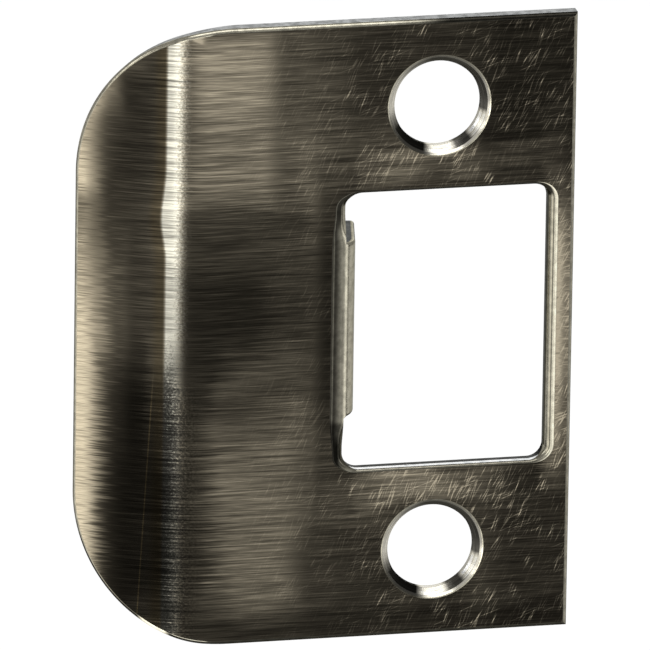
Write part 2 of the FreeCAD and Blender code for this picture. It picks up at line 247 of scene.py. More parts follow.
@dataclass(frozen=True)
class BentSection:
    """The sheet's section: flat, then a bend, then a gently curved lip.

    Attributes:
        thickness: thickness of the sheet.
        width: overall width over the lip.
        edge_x: the straight edge, from the line through the screw holes.
        bend_x: where the lip's bend starts.
        bend_inner: inner radius of the bend.
        bend_angle: slope of the lip where the bend ends.
        tip_angle: slope of the lip at its free edge.
    """

    thickness: float = 1.4 * MM
    width: float = 44.2 * MM
    edge_x: float = 12.4 * MM
    bend_x: float = -20.4 * MM
    bend_inner: float = 7.6 * MM
    bend_angle: float = degrees(22)
    tip_angle: float = degrees(30)

    @property
    def bend_radius(self) -> float:
        """Radius of the bend on the front face."""
        return self.bend_inner + self.thickness

    @property
    def tip_x(self) -> float:
        """The lip's free edge on the front face."""
        return self.edge_x - self.width

    @property
    def lip_radius(self) -> float:
        """Radius of the lip on the front face, which carries it from the bend out to its edge."""
        run = self.bend_x - self.bend_radius * math.sin(self.bend_angle) - self.tip_x
        return run / (math.sin(self.tip_angle) - math.sin(self.bend_angle))

    @property
    def lip_length(self) -> float:
        """Length of the lip's own arc along the front face."""
        return self.lip_radius * (self.tip_angle - self.bend_angle)

    @property
    def bend_end(self) -> float:
        """Length along the front face from the lip's free edge to the flat."""
        return self.lip_length + self.bend_radius * self.bend_angle

    @property
    def tip_y(self) -> float:
        """Depth of the lip's free edge behind the back face's plane, on the front side."""
        bend = self.bend_radius * (1 - math.cos(self.bend_angle))
        lip = self.lip_radius * (math.cos(self.bend_angle) - math.cos(self.tip_angle))
        return bend + lip - self.thickness

    def along(self, x: np.ndarray | float) -> np.ndarray | float:
        """Length along the front face at a place on the flat."""
        return self.bend_end + x - self.bend_x

    def slope(self, length: np.ndarray) -> np.ndarray:
        """Angle of the front face to the flat at a length from the lip's free edge."""
        lip = self.tip_angle - length / self.lip_radius
        bend = (self.bend_end - length) / self.bend_radius
        return np.where(length < self.lip_length, lip, np.maximum(bend, 0.0))

    def at(self, length: np.ndarray, height: np.ndarray, depth: np.ndarray | float) -> np.ndarray:
        """Place points of the sheet.

        On the lip and the bend a point turns about that arc's centre by the slope, at the arc's
        radius less the depth. On the flat it moves straight.

        Args:
            length: length along the front face from the lip's free edge.
            height: height of the point.
            depth: depth below the front face.

        Returns:
            Positions, shape (..., 3).
        """
        length, height, depth = np.broadcast_arrays(length, height, depth)
        angle = self.slope(length)
        lip = length < self.lip_length
        radius = np.where(lip, self.lip_radius, self.bend_radius)
        centre_x = np.where(lip, self.tip_x + self.lip_radius * math.sin(self.tip_angle), self.bend_x)
        lip_centre_y = self.tip_y + self.lip_radius * math.cos(self.tip_angle)
        centre_y = np.where(lip, lip_centre_y, self.bend_radius - self.thickness)
        curved_x = centre_x - (radius - depth) * np.sin(angle)
        curved_y = centre_y - (radius - depth) * np.cos(angle)
        flat = length > self.bend_end
        x = np.where(flat, self.bend_x + length - self.bend_end, curved_x)
        y = np.where(flat, depth - self.thickness, curved_y)
        return vectors(x, y, height)

    def inward(self, length: np.ndarray) -> np.ndarray:
        """Direction from the front face into the sheet."""
        angle = self.slope(length)
        return vectors(np.sin(angle), np.cos(angle), 0.0)

    def tangent(self, length: np.ndarray) -> np.ndarray:
        """Direction along the sheet, away from the lip's free edge."""
        angle = self.slope(length)
        return vectors(np.cos(angle), -np.sin(angle), 0.0)

    def from_tip(self, reach: np.ndarray, depth: np.ndarray | float) -> np.ndarray:
        """Length along the front face for a reach measured square to the lip's free edge.

        The lip's corners are cut straight through the sheet at its edge, so their outline is
        drawn in a plane square to that cut. On an arc the reach is the radius times the sine of
        the angle turned from the edge, and on the flat it grows with the cosine of the slope.

        Args:
            reach: distance from the free edge, in the plane square to the cut.
            depth: depth below the front face at which the cut is met.

        Returns:
            Lengths along the front face.
        """
        reach, depth = np.broadcast_arrays(reach, depth)
        sine, cosine = math.sin(self.tip_angle), math.cos(self.tip_angle)
        turned = np.arcsin(reach / (self.lip_radius - depth))
        on_lip = self.lip_radius * turned
        bend_centre = (self.bend_x - self.tip_x) * cosine
        bend_centre -= (self.bend_radius - self.thickness - self.tip_y) * sine
        bent = np.arcsin(np.clip((reach - bend_centre) / (self.bend_radius - depth), -1, 1))
        on_bend = self.bend_end - self.bend_radius * (self.tip_angle - bent)
        flat_x = self.tip_x + (reach + (depth - self.thickness - self.tip_y) * sine) / cosine
        on_flat = self.along(flat_x)
        is_lip = turned < self.tip_angle - self.bend_angle
        return np.where(is_lip, on_lip, np.where(bent < self.tip_angle, on_bend, on_flat))


@dataclass(frozen=True)
class Outline:
    """The plate's outer edge and how many steps each stretch of it has.

    Attributes:
        height: overall height.
        corner: radius of the lip's two corners.
        rim: rounding of the outer front edge.
        split_x: where the plain left part of the face meets the parts around the openings.
        cell_top: half height of the part around the latch opening.
        corner_steps: steps round each corner.
        gap_steps: steps between a corner and the split.
        across_steps: steps from the split to the straight edge.
        opening_steps: steps up the part around the latch opening.
        hole_steps: steps up the part around each screw hole.
    """

    height: float = 57.15 * MM
    corner: float = 13.8 * MM
    rim: float = 0.35 * MM
    split_x: float = -12.0 * MM
    cell_top: float = 14.6 * MM
    corner_steps: int = 72
    gap_steps: int = 12
    across_steps: int = 48
    opening_steps: int = 64
    hole_steps: int = 28

    @property
    def top(self) -> float:
        """Height of the plate's top edge."""
        return self.height / 2

    def heights(self, top: float) -> np.ndarray:
        """Heights of the rows that all parts of the face share, for a given top edge."""
        hole = np.linspace(self.cell_top, top, self.hole_steps + 1)
        opening = np.linspace(-self.cell_top, self.cell_top, self.opening_steps + 1)
        return joined(-hole[::-1], opening, hole)


@dataclass(frozen=True)
class Opening:
    """The latch opening, with its rolled rim.

    Attributes:
        left: its side next to the lip.
        width: side to side.
        height: top to bottom.
        corner: radius of its corners.
        side_rim: rolled front rim at the two sides.
        end_rim: front rim at top and bottom.
        corner_steps: steps over each half corner.
    """

    left: float = -8.15 * MM
    width: float = 18.25 * MM
    height: float = 25.75 * MM
    corner: float = 1.4 * MM
    side_rim: float = 0.8 * MM
    end_rim: float = 0.25 * MM
    corner_steps: int = 7

    @property
    def centre_x(self) -> float:
        """Middle of the opening across the plate."""
        return self.left + self.width / 2


@dataclass(frozen=True)
class Tongue:
    """The latch tongue folded back from the opening's side.

    Attributes:
        height: top to bottom.
        setback: from the opening's side to the start of the bend.
        inner: inner radius of the bend.
        fold: how far the tongue is folded.
        depth: from the front face to its free end.
        corner: rounding of its free corners.
        rim: rounding along its front edges.
        rim_run: how far the rounding takes to reach its full size.
        root_steps: steps of the bend inside the opening's side.
        bend_steps: steps of the bend in front of the back face's plane.
        leg_steps: steps down the part behind the back face's plane.
        corner_steps: steps round each free corner.
        rim_steps: steps over the rounded edges.
        blend_steps: steps between a corner of the opening and the tongue.
    """

    height: float = 16.2 * MM
    setback: float = 1.35 * MM
    inner: float = 1.2 * MM
    fold: float = degrees(79)
    depth: float = 7.4 * MM
    corner: float = 0.5 * MM
    rim: float = 0.35 * MM
    rim_run: float = 0.5 * MM
    root_steps: int = 8
    bend_steps: int = 10
    leg_steps: int = 36
    corner_steps: int = 10
    rim_steps: int = 6
    blend_steps: int = 5


@dataclass(frozen=True)
class ScrewHole:
    """A countersunk screw hole.

    Attributes:
        spacing: from one hole's centre to the other's.
        bore: radius at the back face.
        sink: radius of the countersink at the front face.
        half_angle: half of the countersink's full angle.
        rim: rounding where the countersink meets the face.
        rim_steps: steps over that rounding.
        cone_steps: steps down the cone.
    """

    spacing: float = 41.275 * MM
    bore: float = 3.9 * MM
    sink: float = 4.6 * MM
    half_angle: float = degrees(41)
    rim: float = 0.15 * MM
    rim_steps: int = 5
    cone_steps: int = 6


@dataclass
class StrikePlate:
    """The folded sheet, made as one closed surface.

    Attributes:
        section: the bent section.
        outline: the outer edge.
        opening: the latch opening.
        tongue: the folded tongue.
        hole: the screw holes.
        face_steps: steps from an opening out to the rectangle round it.
        edge_steps: steps over the outer edge's rounding.
        wall_steps: steps down the cut walls.
    """

    section: BentSection = field(default_factory=BentSection)
    outline: Outline = field(default_factory=Outline)
    opening: Opening = field(default_factory=Opening)
    tongue: Tongue = field(default_factory=Tongue)
    hole: ScrewHole = field(default_factory=ScrewHole)
    face_steps: int = 6
    edge_steps: int = 8
    wall_steps: int = 2

    def build(self) -> bpy.types.Object:
        """Make every surface and weld them.

        Returns:
            The plate's object.
        """
        self.surface = SheetMesh()
        for depth in (0.0, self.section.thickness):
            self.add_left_face(depth)
            self.add_opening_face(depth)
            for side in (1.0, -1.0):
                self.add_hole_face(depth, side)
        self.add_outer_edges()
        self.add_opening_walls()
        self.add_tongue()
        for side in (1.0, -1.0):
            self.add_countersink(side)
        return self.surface.build("folded_strike_plate")

    def face_inset(self, depth: float) -> float:
        """How far the flat faces stop short of the outline, at the front or the back."""
        return self.outline.rim if depth == 0.0 else 0.0

    def put_face(self, length: np.ndarray, height: np.ndarray, depth: float) -> None:
        """Add a grid of the front face (depth 0) or of the back face.

        Args:
            length: lengths along the front face, as a grid.
            height: heights, as a grid.
            depth: 0, or the sheet's thickness.
        """
        length, height = np.broadcast_arrays(length, height)
        side = -1.0 if depth == 0.0 else 1.0
        points = self.section.at(length, height, depth)
        kind = Face.BRUSHED if depth == 0.0 else Face.PLAIN
        normals = side * self.section.inward(length)
        self.surface.add(points, normals, vectors(length, height), kind)

    def put_ruled_face(self, inner: np.ndarray, outer: np.ndarray, depth: float) -> None:
        """Add a face between an opening and the rectangle round it.

        Args:
            inner: (X, Z) pairs along the opening.
            outer: (X, Z) pairs along the rectangle, as many.
            depth: 0, or the sheet's thickness.
        """
        grid = ruled(inner, outer, shares(self.face_steps))
        self.put_face(self.section.along(grid[..., 0]), grid[..., 1], depth)

    def corner_outline(
        self, inset: np.ndarray | float, turn: np.ndarray
    ) -> tuple[np.ndarray, np.ndarray]:
        """Reach from the lip's edge and height of a point on a corner's arc.

        Args:
            inset: distance inside the outline.
            turn: angle round the corner, 0 at the lip's edge and a right angle at the top.

        Returns:
            Reach and height.
        """
        radius = self.outline.corner - inset
        reach = self.outline.corner - radius * np.cos(turn)
        height = self.outline.top - self.outline.corner + radius * np.sin(turn)
        return reach, height

    def add_left_face(self, depth: float) -> None:
        """Add the lip, the bend and the plain part of the face up to the split.

        A row runs at a constant share of the height that the outline leaves at each length.

        Args:
            depth: 0, or the sheet's thickness.
        """
        inset = self.face_inset(depth)
        turn = shares(self.outline.corner_steps, math.pi / 2)
        reach, half = self.corner_outline(inset, turn)
        bent = self.section.from_tip(reach, depth)
        gap = np.linspace(bent[-1], self.section.along(self.outline.split_x), self.outline.gap_steps + 1)
        length = joined(bent, gap)
        half = joined(half, np.full(len(gap), half[-1]))
        rows = self.outline.heights(half[-1])
        self.put_face(length[None, :], rows[:, None] / half[-1] * half[None, :], depth)

    def add_outer_edges(self) -> None:
        """Add the rounded outer front edge and the sheared wall behind it.

        The edge's profile is a quarter circle and then a straight wall. It is carried along
        the outline, whose points move inwards by the profile's inset.
        """
        rim, thickness = self.outline.rim, self.section.thickness
        turn = shares(self.edge_steps, math.pi / 2)[:, None]
        self.put_edge(rim * (1 - np.sin(turn)), rim * (1 - np.cos(turn)), turn, Face.ROLLED)
        depth = np.linspace(rim, thickness, self.wall_steps + 1)[:, None]
        self.put_edge(np.zeros_like(depth), depth, np.full_like(depth, math.pi / 2), Face.SHEARED)

    def put_edge(self, inset: np.ndarray, depth: np.ndarray, turn: np.ndarray, kind: Face) -> None:
        """Carry one profile round the whole outline.

        Args:
            inset: inset of each row of the profile, as a column.
            depth: depth of each row.
            turn: angle of each row's normal, 0 on the face and a right angle on the wall.
            kind: the kind of surface.
        """
        outline, section = self.outline, self.section
        top = outline.top
        split = section.along(outline.split_x)
        edge = section.along(section.edge_x)

        round_turn = shares(outline.corner_steps, math.pi / 2)[None, :]
        reach, height = self.corner_outline(inset, round_turn)
        corner = section.from_tip(reach, depth)
        gap = corner[:, -1:] + (split - corner[:, -1:]) * shares(outline.gap_steps)[None, :]
        across = split + (edge - inset - split) * shares(outline.across_steps)[None, :]
        right_rows = np.stack([outline.heights(top - one) for one in inset[:, 0]])
        tip_rows = right_rows / right_rows[:, -1:] * (top - outline.corner)
        tip = section.from_tip(np.broadcast_to(inset, tip_rows.shape), depth)

        for side in (1.0, -1.0):
            out_along, out_up = -np.cos(round_turn), side * np.sin(round_turn)
            self.put_strip(corner, side * height, depth, turn, out_along, out_up, kind)
            for stretch in (gap, across):
                level = np.ones_like(stretch) * side * (top - inset)
                self.put_strip(stretch, level, depth, turn, 0.0, side, kind)
        self.put_strip(tip, tip_rows, depth, turn, -1.0, 0.0, kind)
        right = np.broadcast_to(edge - inset, right_rows.shape)
        self.put_strip(right, right_rows, depth, turn, 1.0, 0.0, kind)

    def put_strip(
        self,
        length: np.ndarray,
        height: np.ndarray,
        depth: np.ndarray,
        turn: np.ndarray,
        out_along: np.ndarray | float,
        out_up: np.ndarray | float,
        kind: Face,
    ) -> None:
        """Add a strip of edge, whose normal turns from the face to the outline's outward side.

        Args:
            length: lengths along the front face, rows by columns.
            height: heights, rows by columns.
            depth: depth of each row.
            turn: angle of each row's normal.
            out_along: part of the outward direction along the sheet.
            out_up: part of the outward direction upwards.
            kind: the kind of surface.
        """
        out_along, out_up, _ = np.broadcast_arrays(out_along, out_up, length)
        outward = out_along[..., None] * self.section.tangent(length) + out_up[..., None] * UPWARDS
        turn = turn[..., None]
        normals = -self.section.inward(length) * np.cos(turn) + outward * np.sin(turn)
        grain = vectors(length + out_along * depth, height + out_up * depth)
        self.surface.add(self.section.at(length, height, depth), normals, grain, kind)

    def cell_frame(self, low: float, high: float, steps: int, inset: float) -> tuple[np.ndarray, ...]:
        """Points round the rectangle that bounds one part of the face.

        They run anticlockwise, seen from the front, from the corner at the lower left.

        Args:
            low: lower edge.
            high: upper edge.
            steps: steps up each side.
            inset: inset of the straight edge.

        Returns:
            Four runs, each of (X, Z) pairs: bottom, right, top, left.
        """
        left, right = self.outline.split_x, self.section.edge_x - inset
        x = np.linspace(left, right, self.outline.across_steps + 1)
        z = np.linspace(low, high, steps + 1)
        return vectors(x, low), vectors(right, z), vectors(x[::-1], high), vectors(left, z[::-1])

    def rim_size(self, turn: np.ndarray) -> np.ndarray:
        """Give the rounding of the opening's rim round a corner.

        Args:
            turn: angle round the corner, 0 facing a side.

        Returns:
            Sizes, which ease from that of a side to that of an end.
        """
        share = smooth_step(np.abs(turn) / (math.pi / 2))
        return self.opening.side_rim + (self.opening.end_rim - self.opening.side_rim) * share

    def opening_loop(self) -> dict[str, list[np.ndarray]]:
        """Work out the opening's outline, side by side, with its rim at each point.

        Each side runs from the middle of one corner to the middle of the next. The rim is a
        circular arc that leaves the face, turns by the end angle and meets the cut wall. It
        grows towards the tongue, where it becomes the outside of the tongue's own bend.

        Returns:
            For each of place, outward, radius and angle, four runs in the frame's order.
        """
        opening, outline, tongue = self.opening, self.outline, self.tongue
        half_x = opening.width / 2 - opening.corner
        half_z = opening.height / 2 - opening.corner
        steps = opening.corner_steps
        arc = shares(steps, math.pi / 4)
        bend_angle = math.asin(tongue.setback / self.bend_radius)
        runs: dict[str, list[np.ndarray]] = {"place": [], "outward": [], "radius": [], "angle": []}
        for side in range(4):
            facing = side * math.pi / 2 - math.pi / 2
            along_x = side in (0, 2)
            half = half_x if along_x else half_z
            total = outline.across_steps if along_x else outline.opening_steps
            if side == 3:
                reach = tongue.height / 2
                blend = np.linspace(half, reach, tongue.blend_steps + 1)
                middle = np.linspace(reach, -reach, total - 2 * steps - 2 * tongue.blend_steps + 1)
                straight = joined(blend, middle, -blend[::-1])
            else:
                straight = np.linspace(-half, half, total - 2 * steps + 1)
                straight = straight if side in (0, 1) else -straight
            start_turn, end_turn = facing - arc[::-1], facing + arc
            direction = joined(start_turn, np.full(len(straight), facing), end_turn)
            outward = vectors(np.cos(direction), np.sin(direction))
            if along_x:
                straight_x, straight_z = straight, np.full(len(straight), math.sin(facing) * half_z)
                end_x = math.copysign(half_x, straight[-1])
                centre_x = joined(np.full(steps + 1, -end_x), straight_x, np.full(steps + 1, end_x))
                centre_z = np.full(total + 1, straight_z[0])
            else:
                end_z = math.copysign(half_z, straight[-1])
                centre_z = joined(np.full(steps + 1, -end_z), straight, np.full(steps + 1, end_z))
                centre_x = np.full(total + 1, math.cos(facing) * half_x)
            centre = vectors(centre_x + opening.centre_x, centre_z)
            from_side = np.arcsin(np.clip(np.abs(np.sin(direction)), 0, 1))
            radius = self.rim_size(from_side)
            angle = np.full(len(radius), math.pi / 2)
            if side == 3:
                near = smooth_step((half_z - np.abs(centre_z)) / (half_z - tongue.height / 2))
                angle = angle + (bend_angle - angle) * near
                share = smooth_step(1 - from_side / (math.pi / 4))
                wider = (opening.side_rim + tongue.setback) / 2
                run = radius + (wider - radius) * share + (tongue.setback - wider) * near
                radius = run / np.sin(angle)
            runs["place"].append(centre + outward * opening.corner)
            runs["outward"].append(outward)
            runs["radius"].append(radius)
            runs["angle"].append(angle)
        return runs

    def add_opening_face(self, depth: float) -> None:
        """Add the face around the latch opening.

        It is ruled from the rim's line, or the cut edge at the back, out to a rectangle.

        Args:
            depth: 0, or the sheet's thickness.
        """
        outline = self.outline
        frame_sides = self.cell_frame(
            -outline.cell_top, outline.cell_top, outline.opening_steps, self.face_inset(depth)
        )
        loop = self.opening_loop()
        for side, outer in enumerate(frame_sides):
            inner = loop["place"][side]
            if depth == 0.0:
                run = loop["radius"][side] * np.sin(loop["angle"][side])
                inner = inner + loop["outward"][side] * run[:, None]
            elif side == 3:
                on_tongue = np.abs(inner[:, 1]) < self.tongue.height / 2 + self.surface.WELD
                root = np.where(on_tongue, self.root_x, inner[:, 0])
                self.put_tongue_step(root, inner)
                inner = vectors(root, inner[:, 1])
            self.put_ruled_face(inner, outer, depth)

    def put_tongue_step(self, root: np.ndarray, inner: np.ndarray) -> None:
        """Close the back face's step at each end of the tongue's root, as a thin triangle.

        Args:
            root: X of the face's edge at each point of the opening's side.
            inner: (X, Z) of the opening's own outline there.
        """
        for end in np.flatnonzero(np.diff(root)):
            inside, outside = (end, end + 1) if root[end] < root[end + 1] else (end + 1, end)
            corner = np.array([root[inside], inner[inside, 1]])
            step = inner[inside]
            last = np.array([root[outside], inner[outside, 1]])
            grid = np.stack([np.stack([corner, step]), np.stack([last, last])])
            self.put_face(self.section.along(grid[..., 0]), grid[..., 1], self.section.thickness)

    def add_opening_walls(self) -> None:
        """Add the opening's rolled rim and the cut wall behind it, clear of the tongue.

        At a point with rim radius r and end angle e, the rim's row at angle t lies
        r (sin e - sin t) behind the wall and r (1 - cos t) below the face.
        """
        loop = self.opening_loop()
        share = shares(self.tongue.root_steps)[:, None]
        wall = shares(self.wall_steps)[:, None]
        reach = self.tongue.height / 2
        for side in range(4):
            place, outward = loop["place"][side], loop["outward"][side]
            radius, angle = loop["radius"][side], loop["angle"][side]
            pieces = [slice(None)]
            if side == 3:
                upper = np.flatnonzero(np.isclose(place[:, 1], reach))[0]
                lower = np.flatnonzero(np.isclose(place[:, 1], -reach))[0]
                pieces = [slice(0, upper + 1), slice(lower, None)]
            for piece in pieces:
                turn = share * angle[piece][None]
                back = radius[piece] * (np.sin(angle[piece]) - np.sin(turn))
                depth = radius[piece] * (1 - np.cos(turn))
                self.put_wall(place[piece], outward[piece], back, depth, turn, Face.ROLLED)
                depth = depth[-1] + (self.section.thickness - depth[-1]) * wall
                flat = np.full_like(depth, math.pi / 2)
                self.put_wall(place[piece], outward[piece], np.zeros_like(depth), depth, flat, Face.SHEARED)

    def put_wall(
        self,
        place: np.ndarray,
        outward: np.ndarray,
        back: np.ndarray,
        depth: np.ndarray,
        turn: np.ndarray,
        kind: Face,
    ) -> None:
        """Add a strip of the opening's rim or wall.

        Args:
            place: (X, Z) of the cut outline.
            outward: direction into the sheet at each point.
            back: distance of each point behind the cut outline.
            depth: depth below the front face.
            turn: angle of the normal, 0 on the face and a right angle on the wall.
            kind: the kind of surface.
        """
        spot = place[None] + outward[None] * back[..., None]
        points = vectors(spot[..., 0], depth - self.section.thickness, spot[..., 1])
        inside = -outward[None] * np.sin(turn)[..., None]
        normals = vectors(inside[..., 0], -np.cos(turn), inside[..., 1])
        grain = vectors(self.section.along(spot[..., 0]), spot[..., 1])
        grain = grain - outward[None] * depth[..., None]
        self.surface.add(points, normals, grain, kind)

    @property
    def root_x(self) -> float:
        """Where the tongue's bend starts, across the plate."""
        return self.opening.left - self.tongue.setback

    @property
    def bend_radius(self) -> float:
        """Radius of the tongue's bend on its front side."""
        return self.tongue.inner + self.section.thickness

    @property
    def leg_start(self) -> float:
        """Length along the tongue's front side at which its bend ends."""
        return self.bend_radius * self.tongue.fold

    @property
    def tongue_length(self) -> float:
        """Length of the tongue's front side, from its root to its free end."""
        bend_drop = self.bend_radius * (1 - math.cos(self.tongue.fold))
        return self.leg_start + (self.tongue.depth - bend_drop) / math.sin(self.tongue.fold)

    def tongue_angle(self, length: np.ndarray) -> np.ndarray:
        """Angle that the tongue has turned at a length from its root."""
        return np.minimum(length / self.bend_radius, self.tongue.fold)

    def tongue_at(self, length: np.ndarray, height: np.ndarray, depth: np.ndarray) -> np.ndarray:
        """Place points of the tongue.

        A point turns about the bend's centre as far as the fold, then runs straight on.

        Args:
            length: length along the tongue's front side from its root.
            height: height of the point.
            depth: depth below the tongue's front side.

        Returns:
            Positions, shape (..., 3).
        """
        length, height, depth = np.broadcast_arrays(length, height, depth)
        angle, radius = self.tongue_angle(length), self.bend_radius - depth
        straight = np.maximum(length - self.leg_start, 0.0)
        centre_y = self.bend_radius - self.section.thickness
        x = self.root_x + radius * np.sin(angle) + straight * math.cos(self.tongue.fold)
        y = centre_y - radius * np.cos(angle) + straight * math.sin(self.tongue.fold)
        return vectors(x, y, height)

    def tongue_normal(self, length: np.ndarray) -> np.ndarray:
        """Outward direction of the tongue's front side."""
        angle = self.tongue_angle(length)
        return vectors(np.sin(angle), -np.cos(angle), 0.0)

    def tongue_outward(
        self, length: np.ndarray, out_along: np.ndarray, out_up: np.ndarray
    ) -> np.ndarray:
        """Give the outward direction of the tongue's free outline.

        Args:
            length: lengths along the tongue's front side.
            out_along: part of the direction along the tongue.
            out_up: part of the direction upwards.

        Returns:
            Directions, shape (..., 3).
        """
        angle = self.tongue_angle(length)
        tangent = vectors(np.cos(angle), np.sin(angle), 0.0)
        return out_along[..., None] * tangent + out_up[..., None] * UPWARDS

    def tongue_edge(self) -> tuple[np.ndarray, ...]:
        """The tongue's free outline on its upper half.

        It starts where the bend leaves the cut wall, follows the upper end to the corner and
        goes round it. The rounding of its front edge grows from nothing over a short run.

        Returns:
            Length, height, rounding, and the outward direction's parts along and up.
        """
        tongue = self.tongue
        bend_angle = math.asin(tongue.setback / self.bend_radius)
        start = self.bend_radius * bend_angle
        level = self.level_length()
        corner_start = self.tongue_length - tongue.corner
        bend = np.linspace(start, level, tongue.bend_steps + 1)
        leg = np.linspace(level, corner_start, tongue.leg_steps + 1)
        turn = np.linspace(math.pi / 2, 0, tongue.corner_steps + 1)
        straight = joined(bend, leg)
        length = joined(straight, corner_start + tongue.corner * np.cos(turn))
        top = tongue.height / 2
        height = joined(np.full(len(straight), top), top - tongue.corner * (1 - np.sin(turn)))
        out_along = joined(np.zeros(len(straight)), np.cos(turn))
        out_up = joined(np.ones(len(straight)), np.sin(turn))
        rim = tongue.rim * smooth_step((length - start) / tongue.rim_run)
        return length, height, rim, out_along, out_up

    def level_length(self) -> float:
        """Length along the tongue's front side at which it crosses the back face's plane."""
        centre_y = self.bend_radius - self.section.thickness
        drop = centre_y - self.bend_radius * math.cos(self.tongue.fold)
        if drop > 0.0:
            return self.bend_radius * math.acos(centre_y / self.bend_radius)
        return self.leg_start - drop / math.sin(self.tongue.fold)

    def add_tongue(self) -> None:
        """Add the folded tongue: front side, rounded edges, end walls and back side."""
        tongue, thickness = self.tongue, self.section.thickness
        length, height, rim, out_along, out_up = self.tongue_edge()
        root = shares(tongue.root_steps, length[0])
        count = self.outline.opening_steps - 2 * self.opening.corner_steps - 2 * tongue.blend_steps
        rows = np.linspace(-1, 1, count + 1)[:, None]

        front = joined(root, length - out_along * rim)
        half = joined(np.full(len(root), tongue.height / 2), height - out_up * rim)
        grid = np.broadcast_arrays(front[None, :], rows * half[None, :])
        normals = self.tongue_normal(grid[0])
        grain = vectors(self.section.along(self.root_x) + grid[0], grid[1])
        self.surface.add(self.tongue_at(*grid, np.zeros(1)), normals, grain, Face.ROLLED)

        turn = shares(tongue.rim_steps, math.pi / 2)[:, None]
        inset, depth = rim * (1 - np.sin(turn)), rim * (1 - np.cos(turn))
        back, back_start = self.tongue_back(length)
        for side in (1.0, -1.0):
            up = side * out_up
            strip_length, strip_height = length - out_along * inset, side * (height - out_up * inset)
            self.put_tongue_strip(strip_length, strip_height, depth, turn, out_along, up)
            self.put_tongue_walls(length, side * height, rim, out_along, up, back_start)
        end_rows = rows[:, 0] * height[-1]
        flat = np.ones_like(end_rows)
        strip_length, strip_height = (length[-1] - inset[:, -1:]) * flat, end_rows * np.ones_like(turn)
        self.put_tongue_strip(strip_length, strip_height, depth[:, -1:], turn, 1.0, 0.0)
        share = self.wall_shares()[:, None]
        wall = (rim[-1] * (1 - share) + thickness * share) * flat
        points = self.tongue_at(length[-1], end_rows[None], wall)
        leg = np.array([math.cos(tongue.fold), math.sin(tongue.fold), 0.0])
        self.surface.add(points, leg, vectors(length[-1] + wall, end_rows), Face.SHEARED)

        back_half = height[back_start:]
        grid = np.broadcast_arrays(back[None, :, :], (rows * back_half[None, :])[..., None])
        points = np.concatenate([grid[0][..., :2], grid[1][..., :1]], -1)
        normal = -self.tongue_normal(length[back_start:])
        normal[:, :2] = self.back_normals(back)
        grain = vectors(length[back_start:], points[..., 2])
        self.surface.add(points, normal[None], grain, Face.PLAIN)

    def wall_shares(self) -> np.ndarray:
        """Give the rows of the tongue's walls between the front edge and the back edge.

        Returns:
            Shares of the way, the middle one where the opening's cut wall meets the tongue.
        """
        outer = self.tongue_at(np.array([self.level_length()]), 0.0, 0.0)[0, 0]
        return np.array([0.0, (outer - self.opening.left) / (outer - self.root_x), 1.0])

    def tongue_back(self, length: np.ndarray) -> tuple[np.ndarray, int]:
        """The back side's (X, Y) for each point of the free outline that lies behind the plate.

        The first points fan round the bend's inner arc, and the rest lie square behind their
        partners on the front side.

        Args:
            length: lengths of the free outline along the front side.

        Returns:
            The (X, Y) pairs and the index of the outline's first point that has one.
        """
        first = self.tongue.bend_steps
        fan = self.tongue.leg_steps // 2
        behind = length[first:].copy()
        behind[: fan + 1] = np.linspace(0.0, behind[fan], fan + 1)
        return self.tongue_at(behind, 0.0, self.section.thickness)[:, :2], first

    def back_normals(self, points: np.ndarray) -> np.ndarray:
        """Give the outward directions of the tongue's back side.

        Args:
            points: (X, Y) pairs of the back side.

        Returns:
            Directions as (X, Y) pairs.
        """
        centre = np.array([self.root_x, self.tongue.inner])
        arm = points - centre
        angle = np.clip(np.arctan2(arm[:, 0], -arm[:, 1]), 0.0, self.tongue.fold)
        past = points[:, 1] > centre[1] - self.tongue.inner * math.cos(self.tongue.fold)
        angle = np.where(past, self.tongue.fold, angle)
        return vectors(-np.sin(angle), np.cos(angle))

    def put_tongue_strip(
        self,
        length: np.ndarray,
        height: np.ndarray,
        depth: np.ndarray,
        turn: np.ndarray,
        out_along: np.ndarray | float,
        out_up: np.ndarray | float,
    ) -> None:
        """Add a rounded edge of the tongue, as put_strip does for the plate.

        Args:
            length: lengths along the tongue's front side, rows by columns.
            height: heights, rows by columns.
            depth: depth of each point.
            turn: angle of each row's normal.
            out_along: part of the outward direction along the tongue.
            out_up: part of the outward direction upwards.
        """
        length, height, depth = np.broadcast_arrays(length, height, depth)
        out_along, out_up, _ = np.broadcast_arrays(out_along, out_up, length)
        outward = self.tongue_outward(length, out_along, out_up)
        turn = turn[..., None]
        normals = self.tongue_normal(length) * np.cos(turn) + outward * np.sin(turn)
        along = self.section.along(self.root_x) + length + out_along * depth
        grain = vectors(along, height + out_up * depth)
        self.surface.add(self.tongue_at(length, height, depth), normals, grain, Face.ROLLED)

    def put_tongue_walls(
        self,
        length: np.ndarray,
        height: np.ndarray,
        rim: np.ndarray,
        out_along: np.ndarray,
        out_up: np.ndarray,
        first: int,
    ) -> None:
        """Add one end wall of the tongue and carry it round the free corner.

        The part in front of the back face's plane fans out from the foot of the opening's cut
        wall. The part behind it is ruled from the front edge to the back edge.

        Args:
            length: lengths of the free outline along the front side.
            height: its heights.
            rim: rounding of its front edge.
            out_along: part of the outward direction along the tongue.
            out_up: part of the outward direction upwards.
            first: index of the outline's first point behind the back face's plane.
        """
        edge = self.tongue_at(length, height, rim)
        upper = edge[: first + 1]
        foot = np.array([self.opening.left, 0.0, height[0]])
        lower = np.tile(foot, (first + 1, 1))
        lower[-1] = upper[-1]
        grid = ruled(upper, lower, shares(self.wall_steps))
        normal = math.copysign(1.0, height[0]) * UPWARDS
        self.surface.add(grid, normal, grid[..., :2], Face.SHEARED)

